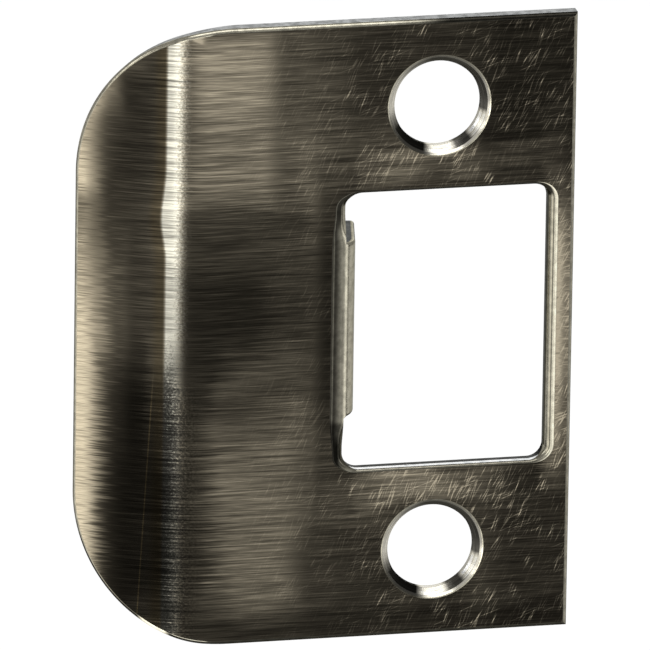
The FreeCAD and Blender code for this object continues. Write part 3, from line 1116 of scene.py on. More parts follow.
        back, _ = self.tongue_back(length)
        behind = np.concatenate([back, height[first:, None]], -1)
        grid = ruled(edge[first:], behind, self.wall_shares())
        grid[1, 0] = foot
        normals = self.tongue_outward(length[first:], out_along[first:], out_up[first:])
        self.surface.add(grid, normals[None], grid[..., :2], Face.SHEARED)

    def hole_loop(self, side: float, inset: float) -> tuple[tuple[np.ndarray, ...], list[np.ndarray]]:
        """The rectangle round a screw hole and the angles at which the hole meets it.

        Args:
            side: 1 for the upper hole and -1 for the lower.
            inset: inset of the plate's outer edges.

        Returns:
            The rectangle's four runs, and the hole's angles for each run.
        """
        outline = self.outline
        near, far = outline.cell_top, outline.top - inset
        low, high = (near, far) if side > 0 else (-far, -near)
        sides = self.cell_frame(low, high, outline.hole_steps, inset)
        centre = np.array([0.0, side * self.hole.spacing / 2])
        plain = self.cell_frame(*((near, outline.top) if side > 0 else (-outline.top, -near)), 1, 0.0)
        corners = [math.atan2(*(run[0] - centre)[::-1]) for run in plain]
        corners = np.unwrap(corners + corners[:1])
        angles = [np.linspace(a, b, len(run)) for a, b, run in zip(corners, corners[1:], sides)]
        return sides, angles

    def rim_reach(self) -> float:
        """How far the countersink's rounded rim reaches along the face and along the cone."""
        return self.hole.rim * math.tan((math.pi / 2 - self.hole.half_angle) / 2)

    def add_hole_face(self, depth: float, side: float) -> None:
        """Add the face around a screw hole, ruled from the hole out to a rectangle.

        Args:
            depth: 0, or the sheet's thickness.
            side: 1 for the upper hole and -1 for the lower.
        """
        radius = self.hole.sink + self.rim_reach() if depth == 0.0 else self.hole.bore
        sides, angles = self.hole_loop(side, self.face_inset(depth))
        for outer, angle in zip(sides, angles):
            inner = radius * vectors(np.cos(angle), np.sin(angle))
            inner = inner + np.array([0.0, side * self.hole.spacing / 2])
            self.put_ruled_face(inner, outer, depth)

    def add_countersink(self, side: float) -> None:
        """Turn the countersink: a rounded rim, the cone and the straight bore.

        The rim is an arc tangent to the face and the cone. The cone falls to the bore at its
        half angle from the axis.

        Args:
            side: 1 for the upper hole and -1 for the lower.
        """
        hole, thickness = self.hole, self.section.thickness
        lean = math.pi / 2 - hole.half_angle
        start = hole.sink + self.rim_reach()
        turn = shares(hole.rim_steps, lean)
        rim_radius = start - hole.rim * np.sin(turn)
        rim_depth = hole.rim * (1 - np.cos(turn))
        cone_depth = (hole.sink - hole.bore) / math.tan(hole.half_angle)
        share = shares(hole.cone_steps)
        cone_radius = rim_radius[-1] + (hole.bore - rim_radius[-1]) * share
        cone_rows = rim_depth[-1] + (cone_depth - rim_depth[-1]) * share
        bore_rows = np.linspace(cone_depth, thickness, self.wall_steps + 1)
        profiles = (
            (vectors(rim_radius, rim_depth, turn), Face.ROLLED),
            (vectors(cone_radius, cone_rows, lean), Face.TURNED),
            (vectors(hole.bore, bore_rows, math.pi / 2), Face.TURNED),
        )
        _, angles = self.hole_loop(side, 0.0)
        centre = side * hole.spacing / 2
        for angle in angles:
            cosine, sine = np.cos(angle), np.sin(angle)
            for rows, kind in profiles:
                radius, depth, tilt = (rows[:, [column]] for column in range(3))
                points = vectors(radius * cosine, depth - thickness, centre + radius * sine)
                inward = np.sin(tilt)
                normals = vectors(-inward * cosine, -np.cos(tilt), -inward * sine)
                grain = vectors(hole.sink * angle, radius - depth + HOLE_GRAIN)
                self.surface.add(points, normals, grain, kind)


@dataclass(frozen=True)
class Zone:
    """A soft-edged rectangle of the sheet, with its sides in millimetres.

    Attributes:
        low: its side next to the lip, along the sheet from the lip's free edge.
        high: its side away from the lip.
        bottom: its lower side, up the plate.
        top: its upper side.
        softness: width of its soft edge, as a share of its reach.
        level: what it adds inside, in stops or as a share.
    """

    low: float
    high: float
    bottom: float
    top: float
    softness: float
    level: float

    @property
    def middle(self) -> tuple[float, float]:
        """Its middle along and up the sheet, in metres."""
        return (self.low + self.high) / 2 * MM, (self.bottom + self.top) / 2 * MM

    @property
    def reach(self) -> tuple[float, float]:
        """How far it reaches from its middle along and up the sheet, in metres."""
        return (self.high - self.low) / 2 * MM, (self.top - self.bottom) / 2 * MM


class Nodes:
    """Short calls that add the nodes of one material and link them."""

    def __init__(self, tree: bpy.types.NodeTree) -> None:
        """Work on an empty node tree.

        Args:
            tree: the tree, which loses the nodes that it has.
        """
        tree.nodes.clear()
        self.tree = tree

    def put(
        self, kind: str, inputs: dict[str | int, object] | None = None, **settings: object
    ) -> bpy.types.Node:
        """Add a node.

        Args:
            kind: the node's type.
            inputs: a value or a socket for each input, by name or place.
            settings: the node's own properties.

        Returns:
            The node.
        """
        node = self.tree.nodes.new(kind)
        for name, value in settings.items():
            setattr(node, name, value)
        for name, value in (inputs or {}).items():
            if isinstance(value, bpy.types.NodeSocket):
                self.tree.links.new(value, node.inputs[name])
            else:
                node.inputs[name].default_value = value
        return node

    def math(self, operation: str, *values: object) -> Socket:
        """Add a Math node and give its result."""
        return self.put("ShaderNodeMath", dict(enumerate(values)), operation=operation).outputs[0]

    def product(self, *values: object) -> Socket:
        """Multiply values together.

        Args:
            values: the values, which are multiplied in their order.

        Returns:
            Their product.
        """
        total = values[0]
        for value in values[1:]:
            total = self.math("MULTIPLY", total, value)
        return total

    def dimmed(self, level: object, share: object) -> Socket:
        """Take a share away from a level."""
        return self.math("MULTIPLY", level, self.math("SUBTRACT", 1.0, share))

    def moved(self, value: object, noise: object, sway: float) -> Socket:
        """Move a value by a noise about its middle, times a sway in millimetres."""
        return self.math("MULTIPLY_ADD", self.math("SUBTRACT", noise, 0.5), sway * MM, value)

    def scaled(self, vector: object, factors: Triple, shift: Triple = (0.0, 0.0, 0.0)) -> Socket:
        """Scale and shift a vector."""
        values = {0: vector, 1: factors, 2: shift}
        return self.put("ShaderNodeVectorMath", values, operation="MULTIPLY_ADD").outputs[0]

    def parts(self, vector: object) -> tuple[Socket, ...]:
        """Split a vector into its three parts."""
        return tuple(self.put("ShaderNodeSeparateXYZ", {0: vector}).outputs)

    def noise(self, vector: object, detail: float, roughness: float) -> Socket:
        """Give a fractal noise from about 0 to 1 at a vector."""
        inputs = {"Vector": vector, "Scale": 1.0, "Detail": detail, "Roughness": roughness}
        return self.put("ShaderNodeTexNoise", inputs).outputs["Fac"]

    def ramp(
        self, value: object, low: float, high: float, start: object = 0.0, end: object = 1.0
    ) -> Socket:
        """Ease smoothly from start to end as a value goes from low to high."""
        inputs = {"Value": value, "From Min": low, "From Max": high, "To Min": start, "To Max": end}
        return self.put("ShaderNodeMapRange", inputs, interpolation_type="SMOOTHSTEP").outputs["Result"]

    def span(self, value: object, places: Pair, start: float = 0.0, end: float = 1.0) -> Socket:
        """Ease smoothly from start to end between two places in millimetres."""
        return self.ramp(value, places[0] * MM, places[1] * MM, start, end)

    def hump(self, value: object, rise: Pair, fall: Pair) -> Socket:
        """Ease up between two places in millimetres, and down again between two more."""
        return self.product(self.span(value, rise), self.span(value, fall, 1.0, 0.0))

    def blend(self, share: object, first: object, second: object) -> Socket:
        """Mix two colours by a share."""
        node = self.put("ShaderNodeMix", {"Factor": share, 6: first, 7: second}, data_type="RGBA")
        return node.outputs[2]

    def tinted(self, tint: object, level: object) -> Socket:
        """Give a tint at a level of brightness."""
        return self.put("ShaderNodeVectorMath", {0: tint, "Scale": level}, operation="SCALE").outputs[0]

    def attribute(self, name: str) -> Socket:
        """Read a number that the mesh carries at its corners."""
        return self.put("ShaderNodeAttribute", attribute_name=name).outputs["Fac"]

    def curve(self, value: object, knots: Knots) -> Socket:
        """Give a level that runs straight from knot to knot as a value goes from -1 to 1.

        Args:
            value: the value.
            knots: pairs of a value and the level that it has.

        Returns:
            The level.
        """
        share = self.math("MULTIPLY_ADD", value, 0.5, 0.5)
        node = self.put("ShaderNodeValToRGB", {0: share})
        elements = node.color_ramp.elements
        for place, _ in knots[1:-1]:
            elements.new((place + 1) / 2)
        for element, (place, level) in zip(elements, knots):
            element.position = (place + 1) / 2
            element.color = (level, level, level, 1.0)
        return node.outputs["Color"]

    def box(self, vector: object, zone: Zone) -> Socket:
        """Give a zone's level at a place on the sheet: full inside it, nothing beyond its soft edge.

        The distance from the zone's middle, along and up, is taken as a share of its reach, and
        the larger of the two shares counts.

        Args:
            vector: place along and up the sheet.
            zone: the zone.

        Returns:
            The level.
        """
        (length, height), (half_length, half_height) = zone.middle, zone.reach
        factors = (1 / half_length, 1 / half_height, 0.0)
        shift = (-length / half_length, -height / half_height, 0.0)
        offset = self.scaled(vector, factors, shift)
        offset = self.put("ShaderNodeVectorMath", {0: offset}, operation="ABSOLUTE").outputs[0]
        along, up, _ = self.parts(offset)
        away = self.math("MAXIMUM", along, up)
        return self.ramp(away, 1.0 - zone.softness, 1.0 + zone.softness, zone.level, 0.0)


class SheetNodes(Nodes):
    """The nodes of the plate's metal, with what its colours are looked up by.

    Attributes:
        place: place in the object.
        grain: place along and up the sheet. On a countersink, round the hole and down it.
        length: the grain's first part.
        height: its second part.
        across: how far the surface faces away from the lip.
        up: how far it faces up.
        streak: the brushing, from 0 to 1.
    """

    def __init__(self, tree: bpy.types.NodeTree, brushing: tuple[Layer, ...]) -> None:
        """Add the nodes that read the surface, and the brushing.

        The brushing is layers of noise, each far longer than it is wide, added up.

        Args:
            tree: the tree, which loses the nodes that it has.
            brushing: the layers, each with its cells per metre, shift, roughness and weight.
        """
        super().__init__(tree)
        self.place = self.put("ShaderNodeTexCoord").outputs["Object"]
        self.grain = self.put("ShaderNodeUVMap", uv_map="grain").outputs["UV"]
        self.length, self.height, _ = self.parts(self.grain)
        self.across, self.up = self.attribute(FACING_ACROSS), self.attribute(FACING_UP)
        total: object = 0.0
        for cells, shift, roughness, weight in brushing:
            layer = self.noise(self.scaled(self.grain, cells, shift), 3.0, roughness)
            total = self.math("MULTIPLY_ADD", layer, weight, total)
        self.streak = total

    def mottled(self, low: float, high: float) -> Socket:
        """Give uneven wear, from a low share to a high one."""
        mottle = self.noise(self.scaled(self.place, (1500.0, 1500.0, 1500.0)), 3.0, 0.6)
        return self.ramp(mottle, 0.3, 0.7, low, high)


@dataclass(frozen=True)
class BurnishAndHighlights:
    """Painted highlight on the upper part of the bend and painted reflection at the lip's free edge, partly
    metal worn bright.

    The bend's lower part keeps only painted glitter from the grit, and a thin painted reflection line
    runs beside it. Places are in millimetres, along the sheet from the lip's free edge or up the
    plate, and lightness is in stops, which are doublings.

    Attributes:
        grit_scale: fineness of the grit along and up the sheet, in cells per metre.
        grit_sway: how far the grit moves the soft borders along the sheet.
        streak_sway: how far the brushing moves them.
        bend_rise: sharp side of the bend's highlight.
        bend_fall: its soft side.
        bend_fade: heights at which it fades out downwards.
        fade_sway: how far the grit moves that fading.
        bend_stops: lightness of the highlight.
        kink_rise: heights at which its sharp side steps towards the lip.
        kink_fall: heights at which it steps back.
        kink_shift: how far it steps.
        foot_rise: near side of the band of painted glitter below the highlight.
        foot_fall: its far side.
        foot_fade: heights at which it fades out upwards.
        foot_grit: grit at which the band is darkest and lightest.
        foot_stops: its lightness there.
        tip_fall: where the painted reflection at the free edge ends.
        tip_sway: how far the brushing moves that end.
        tip_fades: heights at which the painted reflection grows weaker, each with the share that it keeps.
        tip_stops: lightness of the painted reflection.
        line_place: place of the thin painted reflection line at half height.
        line_lean: how far it leans for each unit of height.
        line_width: half widths at which it is full and gone.
        line_stops: its lightness.
        warm_rise: near side of the painted warm reflection band next to the highlight.
        warm_fall: its far side.
        warm_share: how warm it is.
    """

    grit_scale: Triple = (4200.0, 5600.0, 0.0)
    grit_sway: float = 2.2
    streak_sway: float = 3.0
    bend_rise: Pair = (8.1, 8.5)
    bend_fall: Pair = (9.05, 10.6)
    bend_fade: Pair = (-8.5, 0.5)
    fade_sway: float = 16.0
    bend_stops: float = 3.1
    kink_rise: Pair = (7.5, 11.0)
    kink_fall: Pair = (11.0, 16.0)
    kink_shift: float = 0.4
    foot_rise: Pair = (7.9, 9.3)
    foot_fall: Pair = (9.3, 12.4)
    foot_fade: Pair = (-7.0, -2.0)
    foot_grit: Pair = (0.4, 0.72)
    foot_stops: Pair = (-1.0, 2.0)
    tip_fall: Pair = (1.2, 4.0)
    tip_sway: float = 13.0
    tip_fades: tuple[tuple[Pair, float], ...] = (((-1.0, 9.0), 0.7), ((10.0, 20.0), 0.35))
    tip_stops: float = 3.35
    line_place: float = 7.55
    line_lean: float = -0.055
    line_width: Pair = (0.02, 0.08)
    line_stops: float = 1.5
    warm_rise: Pair = (6.9, 7.8)
    warm_fall: Pair = (8.1, 8.4)
    warm_share: float = 0.6

    def rubbed_and_highlit(self, nodes: SheetNodes) -> tuple[Socket, ...]:
        """Work out the painted highlights and reflections of the lip and the bend.

        Args:
            nodes: the material's nodes.

        Returns:
            Their stops, the share of the painted highlight, and the share of the painted warm reflection
            band and line, both from 0 to 1.
        """
        length, height, streak = nodes.length, nodes.height, nodes.streak
        grit = nodes.noise(nodes.scaled(nodes.grain, self.grit_scale), 4.0, 0.75)
        ragged = nodes.moved(nodes.moved(length, grit, self.grit_sway), streak, self.streak_sway)
        # Painted highlight on the bend; its sharp side steps towards the lip at mid height.
        kink = nodes.hump(height, self.kink_rise, self.kink_fall)
        kinked = nodes.math("MULTIPLY_ADD", kink, self.kink_shift * MM, length)
        falling = nodes.span(ragged, self.bend_fall, 1.0, 0.0)
        across = nodes.product(nodes.span(kinked, self.bend_rise), falling)
        upper = nodes.span(nodes.moved(height, grit, self.fade_sway), self.bend_fade)
        bend = nodes.product(across, upper)
        # Painted glitter of the highlight on the bend's lower part.
        lower = nodes.span(height, self.foot_fade, 1.0, 0.0)
        grains = nodes.ramp(grit, *self.foot_grit, *self.foot_stops)
        gritty = nodes.product(nodes.hump(ragged, self.foot_rise, self.foot_fall), lower, grains)
        # Painted reflection at the lip's free edge, weaker higher up.
        tip = nodes.span(nodes.moved(length, streak, self.tip_sway), self.tip_fall, 1.0, 0.0)
        for heights, kept in self.tip_fades:
            tip = nodes.product(tip, nodes.span(height, heights, 1.0, kept))
        # A thin warm painted reflection line beside the bend.
        aside = nodes.math("SUBTRACT", length, self.line_place * MM)
        aside = nodes.math("ABSOLUTE", nodes.math("MULTIPLY_ADD", height, self.line_lean, aside))
        line = nodes.product(nodes.span(aside, self.line_width, 1.0, 0.0), lower)
        # A warm painted reflection band beside the highlight.
        warm = nodes.product(nodes.hump(kinked, self.warm_rise, self.warm_fall), self.warm_share)
        stops = nodes.math("MULTIPLY_ADD", tip, self.tip_stops, gritty)
        stops = nodes.math("MULTIPLY_ADD", bend, self.bend_stops, stops)
        stops = nodes.math("MULTIPLY_ADD", line, self.line_stops, stops)
        return stops, across, nodes.math("MAXIMUM", warm, line)


@dataclass(frozen=True)
class Scratches:
    """Short light scratches across the brushing, in clusters, thickest away from the lip.

    Attributes:
        reach: where they begin and where they are thickest, in millimetres along the sheet.
        fineness: how thin they are, in cells per metre.
        sets: lean, shift, cells per metre along the scratch, and lightness in stops.
        cut: noise at which a scratch begins and is full.
        cluster_scale: cells per metre of the clusters.
        cluster_cut: noise between which a cluster begins and is full.
        least: share of the scratches outside the clusters.
    """

    reach: Pair = (12.5, 37.0)
    fineness: float = 9000.0
    sets: tuple[tuple[float, float, float, float], ...] = (
        (degrees(-64), 0.0, 520, 2.7),
        (degrees(-58), 1.7, 640, 2.5),
        (degrees(-72), 3.7, 430, 2.3),
        (degrees(-20), 5.1, 420, 2.2),
    )
    cut: Pair = (0.65, 0.8)
    cluster_scale: float = 420.0
    cluster_cut: Pair = (0.4, 0.56)
    least: float = 0.25

    def stops(self, nodes: SheetNodes) -> Socket:
        """Work out how much lighter the scratches are.

        Each set is a noise on turned coordinates, far longer than it is wide, of which only
        the peaks are kept.

        Args:
            nodes: the material's nodes.

        Returns:
            Their lightness in stops.
        """
        cells = (self.cluster_scale,) * 3
        cluster = nodes.noise(nodes.scaled(nodes.place, cells, (5.0, 1.0, 2.0)), 1.0, 0.5)
        patchy = nodes.ramp(cluster, *self.cluster_cut, self.least, 1.0)
        amount = nodes.product(nodes.span(nodes.length, self.reach), patchy)
        total: object = 0.0
        for lean, shift, run, stops in self.sets:
            values = {
                "Vector": nodes.place,
                "Location": (shift, shift, 0.0),
                "Rotation": (0.0, lean, 0.0),
                "Scale": (1 / run, 1.0, 1 / self.fineness),
            }
            turned = nodes.put("ShaderNodeMapping", values, vector_type="TEXTURE").outputs[0]
            line = nodes.ramp(nodes.noise(turned, 0.0, 0.5), *self.cut, 0.0, stops)
            total = nodes.math("ADD", total, line)
        return nodes.product(total, amount)


@dataclass(frozen=True)
class Patina:
    """Dark brushed faces, with broad painted reflections and shade, painted highlights and scratches.

    The lightness is worked out in stops, which add up, and is then raised as a power of two.

    Attributes:
        tint: colour of the worn metal.
        highlight_tint: colour of the painted highlight.
        warm_tint: colour of the painted warm reflection band and line beside the bend.
        base_stops: lightness of the plain patina.
        streak_stops: how strongly the brushing shows.
        most_stops: lightness that nothing passes.
        border_sway: how far the brushing moves the zones' borders along, in millimetres.
        border_drift: how far a broad noise moves them up and down.
        burnish_and_highlights: the painted highlights and reflections of the lip and the bend, partly metal
            worn bright.
        scratches: the scratches.
        patina_and_light_zones: broad lighter and darker places of the front face: painted reflections and
            painted shade, partly the patina's own uneven tone.
    """

    tint: Colour = (1.0, 0.875, 0.645, 1.0)
    highlight_tint: Colour = (1.0, 0.965, 0.82, 1.0)
    warm_tint: Colour = (1.0, 0.78, 0.42, 1.0)
    base_stops: float = -4.5
    streak_stops: float = 9.5
    most_stops: float = -0.93
    border_sway: float = 5.0
    border_drift: float = 7.0
    # Painted highlights and reflections of the lip and the bend, partly metal worn bright.
    burnish_and_highlights: BurnishAndHighlights = field(default_factory=BurnishAndHighlights)
    scratches: Scratches = field(default_factory=Scratches)
    # Painted reflections and painted shade across the front face, partly the patina's own uneven tone.
    patina_and_light_zones: tuple[Zone, ...] = (
        Zone(10.2, 18.0, 13.3, 28.5, 0.3, 1.3),
        Zone(10.6, 21.4, 13.3, 28.5, 0.4, 0.85),
        Zone(20.5, 25.0, 17.0, 29.0, 0.5, 0.4),
        Zone(10.0, 17.5, 21.0, 29.0, 0.6, 0.6),
        Zone(19.5, 30.5, 13.0, 19.0, 0.5, 0.7),
        Zone(24.5, 29.5, 19.5, 30.0, 0.5, -0.5),
        Zone(12.5, 20.5, -24.5, -7.7, 0.4, 1.4),
        Zone(13.0, 19.0, -22.0, -12.0, 0.8, 0.4),
        Zone(27.5, 39.0, -15.7, -12.3, 0.4, 1.6),
        Zone(13.5, 20.0, -26.5, -23.5, 0.6, 0.7),
        Zone(42.2, 44.5, 14.0, 21.0, 0.6, 0.6),
        Zone(30.5, 36.5, 23.5, 28.6, 0.5, -0.7),
        Zone(24.0, 31.0, -27.0, -18.0, 0.6, -0.5),
        Zone(10.5, 14.0, -25.0, -18.0, 0.7, -0.5),
        Zone(20.8, 24.0, 8.0, 15.0, 0.6, 0.5),
        Zone(42.0, 46.6, -13.0, -7.0, 0.4, -0.5),
        Zone(20.5, 28.5, -17.5, -8.0, 0.45, 0.85),
        Zone(9.5, 17.0, -2.6, 5.0, 0.7, -1.2),
        Zone(15.5, 21.5, -2.0, 4.5, 0.5, -0.4),
        Zone(10.4, 12.6, -7.5, -3.5, 0.6, -0.8),
        Zone(14.0, 21.5, -5.5, -0.8, 0.5, 0.75),
        Zone(22.3, 25.2, -14.0, 14.0, 0.5, -1.3),
        Zone(27.5, 43.0, 13.0, 16.5, 0.45, 1.25),
        Zone(36.8, 48.0, 8.5, 30.0, 0.35, -1.45),
        Zone(38.5, 48.0, -30.0, -9.5, 0.35, -0.8),
        Zone(10.0, 48.0, -31.0, -26.0, 0.3, -0.85),
        Zone(42.4, 46.6, -13.0, 12.5, 0.2, 2.3),
        Zone(42.85, 44.2, -12.5, 11.5, 0.42, 1.4),
        Zone(2.6, 8.9, -26.5, -3.5, 0.35, -1.9),
        Zone(4.2, 8.9, -27.0, -3.0, 0.45, -0.9),
        Zone(2.4, 5.0, -9.5, 9.0, 0.4, 0.6),
        Zone(6.8, 8.6, -9.5, -0.5, 0.5, 0.8),
        Zone(7.5, 10.5, -27.0, -12.0, 0.5, -0.6),
        Zone(2.6, 8.6, -5.0, 30.0, 0.3, -0.35),
        Zone(-1.0, 2.2, 14.5, 20.5, 0.6, 1.2),
        Zone(1.5, 4.2, 20.5, 25.0, 0.5, 1.5),
        Zone(4.0, 6.6, 23.5, 27.0, 0.6, 0.9),
        Zone(3.6, 8.0, 16.0, 24.5, 0.8, -0.6),
        Zone(0.5, 4.5, 19.0, 24.0, 0.6, 0.7),
        Zone(-1.0, 1.2, 15.0, 18.5, 0.6, 0.6),
        Zone(2.6, 5.2, -14.0, 2.0, 0.5, 0.4),
        Zone(1.5, 3.5, 8.0, 15.0, 0.6, -0.6),
        Zone(7.2, 8.4, -10.0, 29.0, 0.6, 0.15),
        Zone(31.5, 36.0, -27.0, -23.5, 0.5, -0.8),
        Zone(33.5, 38.0, 15.5, 18.0, 0.5, -0.6),
        Zone(28.5, 33.0, -15.5, -12.5, 0.5, 0.5),
        Zone(34.5, 38.5, -15.5, -12.5, 0.5, -0.5),
        Zone(-1.0, 1.4, 9.5, 13.5, 0.6, -0.6),
        Zone(8.5, 11.4, 27.3, 28.4, 0.3, 2.4),
    )

    def colour(self, nodes: SheetNodes) -> Socket:
        """Colour the brushed faces. Only the front has the broad painted reflections and shade, the painted
        highlights and the scratches.

        Args:
            nodes: the material's nodes.

        Returns:
            The colour.
        """
        start = self.base_stops - self.streak_stops / 2
        plain = nodes.math("MULTIPLY_ADD", nodes.streak, self.streak_stops, start)
        # Painted highlights and reflections of the lip and the bend, with the shares that take their tints.
        rubbed_and_highlit, highlight_share, warm = self.burnish_and_highlights.rubbed_and_highlit(nodes)
        marks = nodes.math("ADD", rubbed_and_highlit, self.scratches.stops(nodes))
        spot = self.wandered(nodes)
        # Broad painted reflections and shade, partly the patina's own uneven tone.
        for zone in self.patina_and_light_zones:
            marks = nodes.math("ADD", marks, nodes.box(spot, zone))
        front = nodes.attribute(Face.BRUSHED.value)
        stops = nodes.math("MULTIPLY_ADD", marks, front, plain)
        level = nodes.math("POWER", 2.0, nodes.math("MINIMUM", stops, self.most_stops))
        # The painted highlight and the painted warm reflection band take their own tints.
        tint = nodes.blend(nodes.product(highlight_share, front), self.tint, self.highlight_tint)
        tint = nodes.blend(nodes.product(warm, front), tint, self.warm_tint)
        return nodes.tinted(tint, level)

    def wandered(self, nodes: SheetNodes) -> Socket:
        """Move the place on the sheet along by the brushing and up by a broad noise.

        Args:
            nodes: the material's nodes.

        Returns:
            The place at which the zones are read, so that their borders are uneven.
        """
        broad = nodes.scaled(nodes.grain, (70.0, 110.0, 0.0), (4.0, 4.0, 0.0))
        along = nodes.moved(nodes.length, nodes.streak, self.border_sway)
        up = nodes.moved(nodes.height, nodes.noise(broad, 2.0, 0.5), self.border_drift)
        return nodes.put("ShaderNodeCombineXYZ", {0: along, 1: up}).outputs[0]


@dataclass(frozen=True)
class Countersinks:
    """Turned screw holes, with painted reflections whose level follows their bearing.

    The bearing is the way that a surface faces round the hole, from -1 to 1: 0 to the lip,
    -0.5 up and 0.5 down.

    Attributes:
        tint: colour of the turned metal.
        cone: painted reflection level of the cone by its bearing.
        ring_reflections: painted reflection level of the rolled rim round it.
        band: where the cone takes the rim's level, in millimetres of its own grain.
    """

    tint: Triple = (1.0, 0.955, 0.83)
    # Painted reflections and shade of the cone, by bearing.
    cone: Knots = (
        (-1.0, 0.6), (-0.92, 0.35), (-0.84, 0.02), (-0.60, 0.012), (-0.56, 0.95), (-0.41, 0.85),
        (-0.37, 0.10), (-0.27, 0.08), (-0.235, 1.0), (-0.09, 1.0), (-0.05, 0.10), (0.05, 0.045),
        (0.55, 0.05), (0.70, 0.2), (0.84, 0.5), (1.0, 0.6),
    )
    ring_reflections: Knots = (
        (-1.0, 0.5), (-0.85, 0.10), (-0.60, 0.10), (-0.50, 0.8), (-0.04, 1.0), (0.02, 0.35),
        (0.30, 0.16), (0.55, 0.10), (0.75, 0.35), (1.0, 0.5),
    )
    band: Pair = (4.1, 4.25)

    def bearing(self, nodes: SheetNodes) -> Socket:
        """Bearing of the surface."""
        down, back = nodes.product(nodes.up, -1.0), nodes.product(nodes.across, -1.0)
        return nodes.product(nodes.math("ARCTAN2", down, back), 1 / math.pi)

    def ring_reflection_level(self, nodes: SheetNodes) -> Socket:
        """Painted reflection level of the rolled rim."""
        return nodes.curve(self.bearing(nodes), self.ring_reflections)

    def colour(self, nodes: SheetNodes) -> Socket:
        """Colour the countersinks.

        Args:
            nodes: the material's nodes.

        Returns:
            The colour.
        """
        low, high = self.band
        outer = nodes.ramp(nodes.height, HOLE_GRAIN + low * MM, HOLE_GRAIN + high * MM)
        turning = nodes.noise(nodes.scaled(nodes.grain, (160.0, 7000.0, 0.0)), 3.0, 0.6)
        rings = nodes.ramp(turning, 0.35, 0.65, 0.5, 1.35)
        # The cone's painted reflections by bearing, broken by the turning's rings.
        level = nodes.product(nodes.curve(self.bearing(nodes), self.cone), rings)
        level = nodes.blend(outer, level, self.ring_reflection_level(nodes))
        return nodes.tinted(self.tint, level)


@dataclass(frozen=True)
class RolledEdges:
    """Rolled edges and the folded tongue, with painted reflections and painted shade whose level follows
    the way that they face.

    Attributes:
        tint: colour of the worn metal.
        rim_light_across: painted reflection level of an edge by how far it faces away from the lip.
        fold_light_across: the same painted reflection level for the folded tongue.
        rim_light_up: painted reflection level of an edge by how far it faces up.
        upright: how far up or down an edge faces where the first tone gives way to the last.
        straight_tone: flat tone of the plate's straight edge, in place of its painted reflections.
        tongue: where the folded tongue is.
        straight: where the straight edge is.
        shaded_top: part of the top edge with painted shade.
        shades: painted shade on the opening's corner below the tongue and on its lower rim.
        glint: a painted glint on the lip's lower corner.
    """

    tint: Triple = (1.0, 0.94, 0.745)
    rim_light_across: Knots = (
        (-1.0, 0.05), (-0.95, 0.06), (-0.87, 0.30), (-0.70, 0.36), (-0.58, 0.29), (-0.47, 0.12),
        (-0.36, 0.13), (-0.27, 0.50), (-0.20, 0.95), (-0.03, 1.0), (-0.012, 0.05), (0.055, 0.05),
        (0.075, 0.26), (0.10, 0.03), (0.45, 0.02), (0.62, 0.12), (0.72, 0.30), (1.0, 0.34),
    )
    fold_light_across: Knots = (
        (-1.0, 0.05), (0.02, 0.05), (0.055, 0.06), (0.075, 0.17), (0.10, 0.045), (0.15, 0.035),
        (0.20, 0.06), (0.26, 0.11), (0.32, 0.16), (0.37, 0.22), (0.42, 0.22), (0.46, 0.27),
        (0.50, 0.29), (0.60, 0.34), (0.70, 0.37), (1.0, 0.46),
    )
    rim_light_up: Knots = ((-1.0, 0.03), (-0.2, 0.02), (0.04, 0.04), (0.15, 0.45), (0.85, 0.45), (1.0, 0.22))
    upright: Pair = (0.04, 0.2)
    straight_tone: Colour = (0.2, 0.2, 0.2, 1.0)
    tongue: Zone = Zone(22.0, 33.5, -9.6, 9.6, 0.12, 1.0)
    straight: Zone = Zone(44.75, 48.0, -31.0, 31.0, 0.05, 1.0)
    shaded_top: Zone = Zone(31.0, 53.0, 24.0, 32.0, 0.25, 0.95)
    shades: tuple[Zone, ...] = (
        Zone(22.8, 26.2, -12.6, -8.4, 0.15, 0.75),
        Zone(25.5, 42.5, -13.4, -12.0, 0.1, 0.5),
    )
    glint: Zone = Zone(6.4, 8.8, -27.6, -25.0, 0.3, 0.9)

    def colour(self, nodes: SheetNodes, sinks: Countersinks) -> Socket:
        """Colour the rolled edges and the tongue.

        Args:
            nodes: the material's nodes.
            sinks: the countersinks, whose rolled rims take their painted reflection level.

        Returns:
            The colour.
        """
        grain, across, up = nodes.grain, nodes.across, nodes.up
        # Painted reflection levels of the rims and the tongue, by how far they face away from the lip.
        rim, fold = nodes.curve(across, self.rim_light_across), nodes.curve(across, self.fold_light_across)
        level = nodes.blend(nodes.box(grain, self.tongue), rim, fold)
        level = nodes.blend(nodes.box(grain, self.straight), level, self.straight_tone)
        # Painted light on edges that face up or down, with painted shade on part of the top edge.
        lit = nodes.dimmed(nodes.curve(up, self.rim_light_up), nodes.box(grain, self.shaded_top))
        level = nodes.blend(nodes.ramp(nodes.math("ABSOLUTE", up), *self.upright), level, lit)
        # Painted shade in the opening's corner and on its lower rim.
        for shade in self.shades:
            level = nodes.dimmed(level, nodes.box(grain, shade))
        # A painted glint on the lip's lower corner.
        level = nodes.math("ADD", level, nodes.box(grain, self.glint))
        round_hole = nodes.math("GREATER_THAN", nodes.height, HOLE_GRAIN / 2)
        # The countersinks' rolled rims take their painted reflection level.
        level = nodes.blend(round_hole, level, sinks.ring_reflection_level(nodes))
        return nodes.tinted(self.tint, nodes.product(level, nodes.mottled(0.75, 1.15)))


